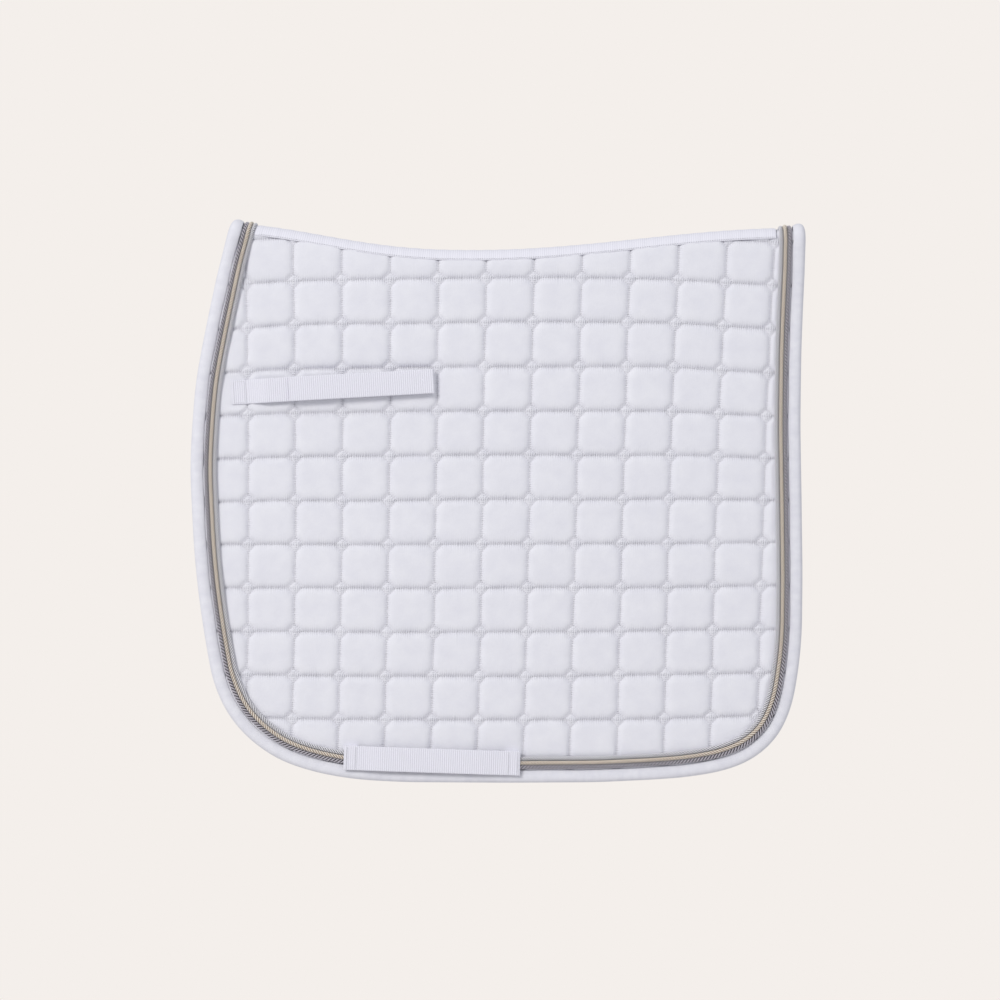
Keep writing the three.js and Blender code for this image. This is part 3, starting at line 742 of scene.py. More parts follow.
def yarn_group():
    """Fine fibres that run slantwise round a strand, on its UV map of run and turn."""
    group = bpy.data.node_groups.get("Yarn Fibres")
    if group:
        return group
    group, t, given, wanted = new_group(
        "Yarn Fibres", [("Run", "NodeSocketVector", None), ("Slant", "NodeSocketFloat", 1.3)],
        [("Height", "NodeSocketFloat"), ("Tint", "NodeSocketFloat"), ("Groove", "NodeSocketFloat")])
    parts = t.add("ShaderNodeSeparateXYZ", {"Vector": given["Run"]}).outputs
    crown = t.math("COSINE", t.math("MULTIPLY", parts["Y"], 2 * math.pi))
    # Groove Shade masks the sides of each strand where it meets its neighbours, for painted shade
    t.feed(t.mask(crown, 0.62, -0.15), wanted["Groove"])
    slanted = t.math("MULTIPLY_ADD", parts["X"], given["Slant"],
            t.math("MULTIPLY", parts["Y"], 9.0))
    fibre = t.math("SINE", t.math("MULTIPLY", slanted, 2 * math.pi))
    noise = t.add("ShaderNodeTexNoise", {"Vector": given["Run"], "Scale": 2.5, "Detail": 4.0})
    t.feed(t.math("MULTIPLY_ADD", fibre, 0.3, noise.outputs["Fac"]), wanted["Height"])
    t.feed(noise.outputs["Fac"], wanted["Tint"])
    return group


def rib_group():
    """Woven ribs across a tape, on its UV map of run and width in millimetres."""
    group = bpy.data.node_groups.get("Tape Ribs")
    if group:
        return group
    group, t, given, wanted = new_group(
        "Tape Ribs", [("Run", "NodeSocketVector", None), ("Pitch", "NodeSocketFloat", 1.2)],
        [("Height", "NodeSocketFloat"), ("Groove", "NodeSocketFloat"), ("Tint", "NodeSocketFloat")])
    parts = t.add("ShaderNodeSeparateXYZ", {"Vector": given["Run"]}).outputs
    turn = t.math("DIVIDE", 2 * math.pi, given["Pitch"])
    rib = t.math("COSINE", t.math("MULTIPLY", parts["X"], turn))
    thread = t.math("SINE", t.math("MULTIPLY", parts["Y"], 2 * math.pi / 0.55))
    noise = t.add("ShaderNodeTexNoise", {"Vector": given["Run"], "Scale": 0.9, "Detail": 4.0})
    height = t.math("MULTIPLY_ADD", thread, 0.22,
            t.math("MULTIPLY_ADD", rib, 0.5, noise.outputs["Fac"]))
    t.feed(height, wanted["Height"])
    # Groove Shade masks the dips between ribs, for painted shade
    t.feed(t.mask(rib, -1.0, -0.2, 1.0, 0.0), wanted["Groove"])
    t.feed(noise.outputs["Fac"], wanted["Tint"])
    return group


def shaded(colour_value, factor):
    return tuple(min(1.0, c * f) for c, f in zip(colour_value, factor)) + (1.0,)


def start_material(name, roughness, sheen):
    material = bpy.data.materials.new(name)
    material.use_nodes = True
    t = Tree(material.node_tree)
    shader = material.node_tree.nodes["Principled BSDF"]
    shader.inputs["Roughness"].default_value = roughness
    shader.inputs["Specular IOR Level"].default_value = 0.25
    shader.inputs["Sheen Weight"].default_value = sheen
    shader.inputs["Sheen Roughness"].default_value = 0.5
    return material, t, shader


def bump(t, shader, height, strength, distance):
    node = t.add("ShaderNodeBump", {"Height": height, "Strength": strength, "Distance": distance})
    t.feed(node.outputs["Normal"], shader.inputs["Normal"])


def quilted_cotton(name, base, sizes, depth):
    if name in bpy.data.materials:
        return bpy.data.materials[name]
    material, t, shader = start_material(name, 0.85, 0.12)
    place = t.add("ShaderNodeTexCoord").outputs["Object"]
    uv = t.add("ShaderNodeUVMap", uv_map="Along").outputs["UV"]
    seams = t.add("ShaderNodeGroup", node_tree=quilt_group())
    t.feed(uv, seams.inputs["Quilt"])
    seams.inputs["Pucker Pitch"].default_value = sizes.stitch_pitch
    weave = t.add("ShaderNodeGroup", node_tree=weave_group())
    t.feed(place, weave.inputs["Vector"])
    weave.inputs["Pitch"].default_value = 0.62
    tint = t.mask(weave.outputs["Tint"], 0.3, 0.7)
    cloth = t.mix(tint, shaded(base, (0.965, 0.965, 0.975)), shaded(base, (1.02, 1.02, 1.015)))
    # Painted shade in the seam creases: the cloth darkens along each quilting seam
    seam_shade = t.math("MULTIPLY", seams.outputs["Seam"], 0.75)
    cloth = t.mix(seam_shade, cloth, shaded(base, (0.88, 0.87, 0.89)))
    # Painted shade in the troughs of the stitch puckers along the seams
    pucker_shade = t.mask(seams.outputs["Pucker"], -0.1, -0.9, 0.0, 0.8)
    t.feed(t.mix(pucker_shade, cloth, shaded(base, (0.72, 0.71, 0.74))), shader.inputs["Base Color"])
    height = t.math("MULTIPLY_ADD", weave.outputs["Height"], 0.16, seams.outputs["Height"])
    bump(t, shader, height, depth, 0.0011)
    return material


def plain_cotton(name, base, pitch):
    """Cotton cut on the bias, for the binding."""
    if name in bpy.data.materials:
        return bpy.data.materials[name]
    material, t, shader = start_material(name, 0.8, 0.15)
    place = t.add("ShaderNodeTexCoord").outputs["Object"]
    uv = t.add("ShaderNodeUVMap", uv_map="Along").outputs["UV"]
    weave = t.add("ShaderNodeGroup", node_tree=weave_group())
    t.feed(place, weave.inputs["Vector"])
    weave.inputs["Pitch"].default_value = pitch
    parts = t.add("ShaderNodeSeparateXYZ", {"Vector": uv}).outputs
    stretched = t.add("ShaderNodeCombineXYZ", {"X": t.math("MULTIPLY", parts["X"], 0.12),
                                               "Y": t.math("MULTIPLY", parts["Y"], 5.0)})
    pulls = t.add("ShaderNodeTexNoise", {"Vector": stretched.outputs[0], "Scale": 1.0,
            "Detail": 3.0})
    tint = t.mask(pulls.outputs["Fac"], 0.3, 0.7)
    t.feed(t.mix(tint, shaded(base, (0.93, 0.93, 0.945)), shaded(base, (1.02, 1.02, 1.015))),
           shader.inputs["Base Color"])
    height = t.math("MULTIPLY_ADD", weave.outputs["Height"], 0.25, pulls.outputs["Fac"])
    bump(t, shader, height, 0.5, 0.0009)
    return material


def yarn(name, base, groove_shade):
    """Plied yarn: each strand's crown stays pale, with painted shade where strands meet."""
    if name in bpy.data.materials:
        return bpy.data.materials[name]
    material, t, shader = start_material(name, 0.55, 0.2)
    uv = t.add("ShaderNodeUVMap", uv_map="Along").outputs["UV"]
    fibres = t.add("ShaderNodeGroup", node_tree=yarn_group())
    t.feed(uv, fibres.inputs["Run"])
    fleck = t.mask(fibres.outputs["Tint"], 0.3, 0.7)
    strand = t.mix(fleck, shaded(base, (0.86, 0.86, 0.86)), shaded(base, (1.14, 1.14, 1.14)))
    # Painted shade in the gaps where the strands meet
    t.feed(t.mix(fibres.outputs["Groove"], strand, groove_shade + (1.0,)), shader.inputs["Base Color"])
    bump(t, shader, fibres.outputs["Height"], 0.6, 0.0003)
    return material


def ribbed_webbing(name, base, sizes):
    if name in bpy.data.materials:
        return bpy.data.materials[name]
    material, t, shader = start_material(name, 0.7, 0.15)
    uv = t.add("ShaderNodeUVMap", uv_map="Along").outputs["UV"]
    ribs = t.add("ShaderNodeGroup", node_tree=rib_group())
    t.feed(uv, ribs.inputs["Run"])
    ribs.inputs["Pitch"].default_value = sizes.rib_pitch
    tint = t.mask(ribs.outputs["Tint"], 0.3, 0.7)
    cloth = t.mix(tint, shaded(base, (0.96, 0.96, 0.97)), shaded(base, (1.03, 1.03, 1.02)))
    # Painted shade in the dips between the ribs
    groove_shade = t.math("MULTIPLY", ribs.outputs["Groove"], 0.5)
    t.feed(t.mix(groove_shade, cloth, shaded(base, (0.78, 0.78, 0.80))), shader.inputs["Base Color"])
    bump(t, shader, ribs.outputs["Height"], 0.45, 0.00035)
    return material


def fuzzy(name, base, scale, depth, roughness=0.9):
    """Foam, hook tape, loop tape and thread: a noisy surface with one grain size."""
    if name in bpy.data.materials:
        return bpy.data.materials[name]
    material, t, shader = start_material(name, roughness, 0.2)
    place = t.add("ShaderNodeTexCoord").outputs["Object"]
    grain = t.add("ShaderNodeTexNoise", {"Vector": place, "Scale": scale, "Detail": 4.0})
    t.feed(t.mix(t.mask(grain.outputs["Fac"], 0.35, 0.65), shaded(base, (0.85,) * 3),
            shaded(base, (1.05,) * 3)),
           shader.inputs["Base Color"])
    bump(t, shader, grain.outputs["Fac"], 0.6, depth)
    return material


# ---- Straps ----
def strap_frame(tilt):
    """Directions along and across a strap that lies on the flap, as (x, z)."""
    return np.array([math.cos(tilt), math.sin(tilt)]), np.array([-math.sin(tilt), math.cos(tilt)])


def ribbon(name, origin, tilt, side, centre, thick, wide, sizes, rib=0.2):
    """A webbing ribbon whose centre line is (distance along, distance out), in millimetres."""
    along, across = strap_frame(tilt)
    gaps = np.linalg.norm(np.diff(centre, axis=0), axis=1)
    run = np.concatenate([[0], np.cumsum(gaps)])
    stations = np.linspace(0, run[-1], max(4, round(run[-1] / (sizes.rib_pitch / 8))))
    line = np.column_stack([np.interp(stations, run, centre[:, k]) for k in (0, 1)])
    tangent = np.gradient(line, axis=0)
    tangent /= np.linalg.norm(tangent, axis=1)[:, None]
    normal = np.column_stack([-tangent[:, 1], tangent[:, 0]])
    half = wide / 2
    steps = np.array([-1, -0.975, -0.9, -0.45, 0, 0.45, 0.9, 0.975, 1]) * half
    full = np.array([0.35, 0.85, 1, 1, 1, 1, 1, 0.85, 0.35])
    ring_across = np.concatenate([steps, steps[::-1]])
    ring_half = np.concatenate([full, -full[::-1]]) * thick / 2
    wave = rib * np.cos(2 * np.pi * stations / sizes.rib_pitch)[:, None] * np.sign(ring_half)
    wave = wave * (np.abs(ring_half) > 0.4 * thick)
    ends = smoothstep(0, 1.0, stations) * smoothstep(0, 1.0, stations[-1] - stations)
    height = (ring_half[None, :] + wave) * (0.45 + 0.55 * ends[:, None])
    sag = 0.12 * np.sin(stations / 23.0)[:, None] * (ring_across / half) ** 2
    s = line[:, 0:1] + normal[:, 0:1] * height
    out = line[:, 1:2] + normal[:, 1:2] * height + sag
    x = origin[0] + along[0] * s + across[0] * ring_across
    z = origin[1] + along[1] * s + across[1] * ring_across
    grid = np.stack([x, side * out, z], -1) * MM
    piece = make_tubes(name, [grid], [stations])
    uv = piece.data.uv_layers["Along"].data
    values = np.zeros(len(uv) * 2, np.float32)
    uv.foreach_get("uv", values)
    values = values.reshape(-1, 2)
    values[:, 1] = np.interp(values[:, 1] * len(ring_across), np.arange(len(ring_across) + 1),
                             np.append(ring_across, ring_across[0]))
    uv.foreach_set("uv", values.ravel())
    return piece


def thread_run(points, outward, radius, fill=0.72):
    """Stitches as short closed tubes from point to point. Each arches out a little."""
    tubes = []
    angle = np.linspace(0, 2 * math.pi, 5)[:4] + math.pi / 4
    start, end = points[:-1], points[1:]
    along = end - start
    size = np.linalg.norm(along, axis=1)[:, None]
    along = along / np.maximum(size, 1e-9)
    lift = outward - np.sum(outward * along, axis=1)[:, None] * along
    lift = lift / np.maximum(np.linalg.norm(lift, axis=1)[:, None], 1e-9)
    beside = np.cross(along, lift)
    middle = (start + end) / 2
    for share, rise, thick in ((-0.5, -0.5, 0.5), (0.0, 0.4, 1.0), (0.5, -0.5, 0.5)):
        centre = middle + along * size * share * fill + lift * radius * rise
        ring = (centre[:, None, :] + radius * thick *
                (np.cos(angle)[None, :, None] * beside[:, None, :]
                 + np.sin(angle)[None, :, None] * lift[:, None, :]))
        tubes.append(ring)
    return np.stack(tubes, axis=1)


def stitched_line(origin, tilt, side, start, end, out, pitch, radius):
    """Stitches from place to place, each given in distances along and across a strap."""
    along, across = strap_frame(tilt)
    count = max(2, round(math.dist(start, end) / pitch))
    flat = np.linspace(start, end, count + 1)
    x = origin[0] + along[0] * flat[:, 0] + across[0] * flat[:, 1]
    z = origin[1] + along[1] * flat[:, 0] + across[1] * flat[:, 1]
    points = np.stack([x, np.full(len(x), side * out), z], -1) * MM
    outward = np.tile([0.0, float(side), 0.0], (count, 1))
    return thread_run(points, outward, radius * MM)


# ---- Operators ----
class PieceOperator:
    """What the operators share: the scene's sizes and colours, and undo."""
    bl_options = {"REGISTER", "UNDO"}

    def execute(self, context):
        sizes, colours = context.scene.saddle_pad_sizes, context.scene.saddle_pad_colours
        for name, side in SIDES:
            self.build(name, side, sizes, colours)
        return {"FINISHED"}


class SADDLEPAD_OT_covers(PieceOperator, bpy.types.Operator):
    """Quilted outer cover of each side, from the spine to the hem"""
    bl_idname = "saddle_pad.covers"
    bl_label = "Quilted Covers"

    def build(self, name, side, sizes, colours):
        grid = PanelGrid(half_cell(sizes.cover_lines, DIAMOND, (0.19, 0.25, 0.34, 0.5)))
        out = cover_out(sizes, grid.column, grid.row, grid.x, grid.z, grid.seen_height(),
                grid.inset)
        back = np.minimum(out - 0.8, 9.8)
        piece = grid.shell(name + "_quilted_cover", out, back, side, plain_back=True)
        finish_piece(piece, quilted_cotton("Quilted Cotton", colours.cotton, sizes, 0.55),
                     (name + "_cover", name + "_spine_cover"))
        cross_seam(piece)


class SADDLEPAD_OT_quilting(PieceOperator, bpy.types.Operator):
    """Stitches along the quilting seams of each cover"""
    bl_idname = "saddle_pad.quilting"
    bl_label = "Quilting Thread"

    def build(self, name, side, sizes, colours):
        lines = []
        reach = (DIAMOND / COLUMN_PITCH, DIAMOND / ROW_PITCH)
        for column in range(-1, 13):
            for row in range(-1, 13):
                lines.append(((column + reach[0], row), (column + 1 - reach[0], row)))
                lines.append(((column, row + reach[1]), (column, row + 1 - reach[1])))
                tips = [(column + reach[0], row), (column, row + reach[1]),
                        (column - reach[0], row), (column, row - reach[1])]
                lines += [(tips[k], tips[(k + 1) % 4]) for k in range(4)]
        starts, ends = [], []
        for a, b in lines:
            length = math.hypot((b[0] - a[0]) * COLUMN_PITCH, (b[1] - a[1]) * ROW_PITCH)
            places = np.linspace(a, b, max(2, round(length / sizes.stitch_pitch)) + 1)
            starts.append(places[:-1])
            ends.append(places[1:])
        points, insets = [], []
        for places in (np.vstack(starts), np.vstack(ends)):
            x, height = quilt_place(places[:, 0], places[:, 1])
            spots = Spots(places[:, 0], places[:, 1], x, height)
            out = cover_out(sizes, spots.column, spots.row, spots.x, spots.z,
                    spots.seen_height(), spots.inset)
            points.append(spots.place(out + 0.05, side))
            insets.append((spots.inset > EDGE_CLEAR) & (wrap_line(x) - spots.z - 0.0 > 0.2))
        keep = insets[0] & insets[1]
        outward = np.tile([0.0, float(side), 0.0], (np.count_nonzero(keep), 1))
        both = np.stack([points[0][keep], points[1][keep]], axis=1)
        tubes = np.vstack([thread_run(pair, way[None, :], 0.36 * MM) for pair,
                way in zip(both, outward)])
        piece = make_tubes(name + "_quilting_thread", list(tubes))
        finish_piece(piece, fuzzy("Quilting Thread", colours.thread, 2500.0, 0.0001))
        cross_seam(piece)


class Spots(PanelGrid):
    """Single places on a side, with the same measures as a grid's points."""

    def __init__(self, column, row, x, height):
        self.column, self.row, self.x = column, row, x
        top = wrap_line(x)
        self.turn = np.clip((height - top) / TURN_RADIUS, 0, math.pi / 2)
        self.z = np.minimum(height, top)
        self.edge_distance()


class SADDLEPAD_OT_foam(PieceOperator, bpy.types.Operator):
    """Foam core of each side"""
    bl_idname = "saddle_pad.foam"
    bl_label = "Foam Cores"

    def build(self, name, side, sizes, colours):
        grid = PanelGrid(np.array([0.16, 0.33, 0.5]), inset=7.0)
        distance = seam_distance(grid.column, grid.row)[0]
        swell = 0.35 * (1 - np.exp(-distance / 5))
        piece = grid.shell(name + "_foam_core", 9.2 + swell, 6.4 - swell, side)
        finish_piece(piece, fuzzy("Foam", colours.foam, 700.0, 0.0004),
                     (name + "_foam", name + "_spine_foam"))
        cross_seam(piece)


class SADDLEPAD_OT_linings(PieceOperator, bpy.types.Operator):
    """Cotton lining on the inside of each side"""
    bl_idname = "saddle_pad.linings"
    bl_label = "Linings"

    def build(self, name, side, sizes, colours):
        grid = PanelGrid(half_cell(3, DIAMOND, (0.25, 0.36, 0.5)), inset=5.5)
        distance, in_diamond = seam_distance(grid.column, grid.row)
        rise = 1 - np.exp(-((distance / sizes.shoulder) ** 1.1))
        free = smoothstep(10, 18, grid.inset) * smoothstep(0, 1.2, math.pi / 2 - grid.turn)
        inner = LINING_IN + 0.1 - 1.1 * rise * np.where(in_diamond, 0.8, 1.0) * free
        piece = grid.shell(name + "_lining_cloth", inner + 0.7, inner, side)
        finish_piece(piece, quilted_cotton("Quilted Lining", colours.lining, sizes, 0.35),
                     (name + "_lining", name + "_spine_lining"))
        cross_seam(piece)


def binding_section():
    """Closed outline of the binding, as (distance in from the edge, distance from its middle)."""
    outside = [(BINDING_WIDE, 4.6), (BINDING_WIDE - 0.3, 5.0), (11.6, 5.55), (9.8, 6.2), (7.8, 6.6),
               (5.4, 6.6), (3.4, 6.1), (1.8, 5.0), (0.75, 3.4), (0.15, 1.7), (0.0, 0.0)]
    inside = [(BINDING_WIDE - 0.1, 4.3), (11.0, 4.5), (8.4, 4.9), (5.6, 4.85), (3.4, 4.3),
            (1.9, 3.0),
              (1.2, 1.2)]
    outer = outside + [(inset, -out) for inset, out in outside[-2::-1]]
    inner = [(inset, -out) for inset, out in inside] + inside[::-1]
    return np.array(outer + inner)


class SADDLEPAD_OT_bindings(PieceOperator, bpy.types.Operator):
    """Cotton binding round the edge of each side"""
    bl_idname = "saddle_pad.bindings"
    bl_label = "Bindings"

    def build(self, name, side, sizes, colours):
        path = EdgePath(2.2)
        section = binding_section()
        run = path.run(5.0, 9.0, side)
        wave = 0.13 * np.sin(run / 11.3) + 0.15 * np.sin(run / 17.7 + 1) + 0.05 * np.sin(run / 4.1)
        wave = (wave * (1 - np.abs(np.sin(path.turn))))[:, None]
        outward = np.sign(section[:, 1]) * (np.abs(section[:, 1]) > 5)
        bunch = 1 + 0.42 * smoothstep(0.35, 1.0, path.up)[:, None] * (section[:, 1] > 0)[None, :]
        out = MID_PLANE + section[:, 1][None, :] * bunch + wave * outward[None, :]
        inset = section[:, 0][None, :] + 0.25 * np.sin(run / 9.0)[:, None] * (section[:, 0] > 9)
        piece = make_tubes(name + "_edge_binding", [path.place(inset, out, side)], [run])
        finish_piece(piece, plain_cotton("Binding Cotton", colours.cotton, 0.55),
                     (name + "_binding", "spine_binding_front", "spine_binding_rear"))
        cross_seam(piece)


CORDS = (  # name, radius, strands, pitch, handedness, inset, lift, colour, shade in the grooves
    ("dark_cord", 2.4, 3, 3.6, 1, 16.7, 0.0, "dark_yarn", (0.035, 0.03, 0.04)),
    ("champagne_cord", 2.15, 3, 3.1, -1, 21.0, 1.3, "champagne_yarn", (0.55, 0.42, 0.34)),
    ("silver_cord", 2.25, 4, 2.8, -1, 25.4, 0.0, "silver_yarn", (0.22, 0.21, 0.25)),
)


class SADDLEPAD_OT_cords(PieceOperator, bpy.types.Operator):
    """Three twisted cords inside the binding of each side"""
    bl_idname = "saddle_pad.cords"
    bl_label = "Twisted Cords"

    def build(self, name, side, sizes, colours):
        path = EdgePath(1.1)
        for cord, radius, strands, pitch, hand, inset, lift, colour_name, groove_shade in CORDS:
            sine = math.sin(math.pi / strands)
            strand = radius * sine / (1 + sine)
            reach = radius - strand
            middle = CORD_BASE + radius + lift - 1.6 * smoothstep(0.3, 1, path.up)[:, None]
            run = path.run(inset, CORD_BASE + radius, side)
            turns = round(run[-1] / (pitch * sizes.twist * strands) * 2 * strands) / (2 * strands)
            twist = 2 * math.pi * turns * run / run[-1] * hand * side
            tubes = []
            for k in range(strands):
                phase = (twist + 2 * math.pi * k / strands)[:, None]
                angle = np.linspace(0, 2 * math.pi, 7)[None, :6]
                radial, tangential = strand * np.cos(angle), 1.08 * strand * np.sin(angle)
                local_in = (reach + radial) * np.cos(phase) - tangential * np.sin(phase)
                local_out = (reach + radial) * np.sin(phase) + tangential * np.cos(phase)
                tubes.append(path.place(inset + local_in, middle + local_out, side))
            piece = make_tubes(name + "_twisted_" + cord, tubes, [run] * strands)
            finish_piece(piece, yarn(cord.replace("_", " ").title(),
                    getattr(colours, colour_name), groove_shade),
                         (name + "_" + cord, "spine_" + cord + "_front",
                                 "spine_" + cord + "_rear"))
            cross_seam(piece)


def spine_band(name, inner, outer, edge_turn, start, end, step):
    """A tape bent over the spine, from one lower edge to the other."""
    x = np.linspace(start, end, round((end - start) / step))
    turns = np.linspace(edge_turn, math.pi - edge_turn, 19)
    ring_turn = np.concatenate([turns, turns[::-1]])
    ring_out = np.concatenate([np.full(19, outer), np.full(19, inner)])
    ring_out[[0, 18]] -= 0.25
    share = ((x - start) / (end - start))[:, None]
    lift = ring_out * np.sin(ring_turn)
    lean = TOP_SLANT * (lift - outer) * (1 - share) ** 3
    ends = np.minimum(x - start, end - x)
    ring_out = ring_out[None, :] + (ring_out > (inner + outer) / 2) * 0.12 * np.sin(x / 2.3)[:,
            None]
    puckers = 0.25 * np.exp(-ends / 14)[:, None] * np.sin(x / 1.4)[:, None]
    ring_out = ring_out + (ring_out > (inner + outer) / 2) * puckers
    lift = ring_out * np.sin(ring_turn)
    grid = np.stack([x[:, None] + lean, -ring_out * np.cos(ring_turn),
                     wrap_line(x[:, None] + lean) + lift], -1) * MM
    return make_tubes(name, [grid], [x - start]), x


class SADDLEPAD_OT_spine_tapes(bpy.types.Operator):
    """Cotton tape over the spine, its stitching, and the tape under it"""
    bl_idname = "saddle_pad.spine_tapes"
    bl_label = "Spine Tapes"
    bl_options = {"REGISTER", "UNDO"}

    def execute(self, context):
        sizes, colours = context.scene.saddle_pad_sizes, context.scene.saddle_pad_colours
        start = float(front_edge_above(wrap_line(FRONT_X + 65) + 14.5)) + EDGE_CLEAR
        end = REAR_X - EDGE_CLEAR
        edge_turn = math.radians(9.5)
        piece, x = spine_band("spine_top_tape", CORD_BASE - 0.2, CORD_BASE + 0.5, edge_turn,
                start, end, 0.7)
        finish_piece(piece, ribbed_webbing("Spine Tape", colours.webbing, sizes),
                ("spine_tape",))
        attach(piece, "spine")
        tubes = []
        for side in (-1, 1):
            run = np.arange(start + 2, end - 2, 2.4)
            turn = edge_turn + 0.12
            out = CORD_BASE + 0.55
            points = np.column_stack([run, side * out * math.cos(turn) + 0 * run,
                                      wrap_line(run) + out * math.sin(turn)]) * MM
            outward = np.tile([0.0, side * math.cos(turn), math.sin(turn)], (len(run) - 1, 1))
            tubes.append(thread_run(points, outward, 0.24 * MM))
        thread = make_tubes("spine_tape_stitching", list(np.vstack(tubes)))
        finish_piece(thread, fuzzy("Tape Thread", (0.55, 0.55, 0.58), 2500.0, 0.0001))
        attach(thread, "spine")
        low, high = node_box("spine_lining_tape")
        inside = spine_band("spine_under_tape", 3.7, 4.4, math.radians(14), low[0] + 1,
                high[0] - 1, 2.0)[0]
        finish_piece(inside, ribbed_webbing("Spine Tape", colours.webbing, sizes),
                     ("spine_lining_tape",))
        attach(inside, "spine")
        return {"FINISHED"}


GIRTH_LONG = 182.0
GIRTH_END = 15.0
GIRTH_RAMP = 28.0


class SADDLEPAD_OT_girth_straps(PieceOperator, bpy.types.Operator):
    """Webbing keeper for the girth near each hem, sewn down at both ends"""
    bl_idname = "saddle_pad.girth_straps"
    bl_label = "Girth Keepers"

    def build(self, name, side, sizes, colours):
        webbing = ribbed_webbing("Webbing", colours.webbing, sizes)
        half = GIRTH_LONG / 2
        s = np.linspace(-half, half, 400)
        sewn = half - GIRTH_END
        out = 19.95 + 2.0 * smoothstep(0, GIRTH_RAMP, sewn - np.abs(s))
        piece = ribbon(name + "_girth_keeper", GIRTH_MIDDLE, GIRTH_TILT, side,
                       np.column_stack([s, out]), 1.3, STRAP_WIDE, sizes)
        finish_piece(piece, webbing, (name + "_girth_strap",))
        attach(piece, name + "_flap")
        ends = (("front", -half + GIRTH_END / 2), ("rear", half - GIRTH_END / 2))
        for end, middle in ends:
            node = f"{name}_girth_fold_{end}"
            low, high = (np.array(corner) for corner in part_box(node))
            piece = folded_end(node + "_cloth", low, high)
            finish_piece(piece, webbing, (node,))
            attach(piece, name + "_flap")
            node = f"{name}_girth_stitching_{end}"
            reach = STRAP_WIDE / 2 - 1
            tubes = [stitched_line(GIRTH_MIDDLE, GIRTH_TILT, side, (at, -reach), (at, reach),
                    20.8, 1.3, 0.34)
                     for at in (middle - 5.2, middle - 4.2, middle + 4.6, middle + 5.6)]
            tubes = np.vstack(tubes)
            thread = make_tubes(node + "_thread", list(tubes))
            finish_piece(thread, fuzzy("Strap Thread", colours.thread, 2500.0, 0.0001),
                    (node,))
            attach(thread, name + "_flap")


def folded_end(name, low, high):
    """The webbing folded under at a sewn end: a block of layers with soft edges."""
    bpy.ops.object.select_all(action="DESELECT")
    bpy.ops.mesh.primitive_cube_add(size=1, location=tuple((low + high) / 2))
    piece = bpy.context.active_object
    piece.name = piece.data.name = name
    piece.scale = tuple(high - low)
    bpy.ops.object.transform_apply(location=True, rotation=True, scale=True)
    bpy.ops.object.mode_set(mode="EDIT")
    bpy.ops.mesh.select_all(action="SELECT")
    bpy.ops.mesh.subdivide(number_cuts=5)
    bpy.ops.object.mode_set(mode="OBJECT")
    for vertex in piece.data.vertices:
        layer = (vertex.co.y - low[1]) / (high[1] - low[1])
        squeeze = 1 - 0.12 * abs(math.sin(layer * math.pi * 3 + math.pi / 2))
        middle = (low + high) / 2
        vertex.co.x = middle[0] + (vertex.co.x - middle[0]) * squeeze
        vertex.co.z = middle[2] + (vertex.co.z - middle[2]) * squeeze
    soften = piece.modifiers.new("Round", "BEVEL")
    soften.width = 0.0004
    soften.segments = 2
    bpy.ops.object.modifier_apply(modifier=soften.name)
    bpy.ops.object.shade_smooth()
    layers = piece.data.uv_layers
    uv = layers["Along"] if "Along" in layers else layers.new(name="Along")
    for loop in piece.data.loops:
        corner = piece.data.vertices[loop.vertex_index].co
        uv.data[loop.index].uv = (corner.x / MM, corner.z / MM)
    for layer in [layer for layer in piece.data.uv_layers if layer.name != "Along"]:
        piece.data.uv_layers.remove(layer)
    return piece


BILLET_SEWN = 15.2
BILLET_FOLD = 207.0
BILLET_FREE = 59.7
BILLET_FALL = 0.0135  # how the strap comes down towards its fold, per millimetre


def billet_level(s):
    """Distance out of the strap's lower layer."""
    return 18.25 + BILLET_FALL * (BILLET_FOLD - s)


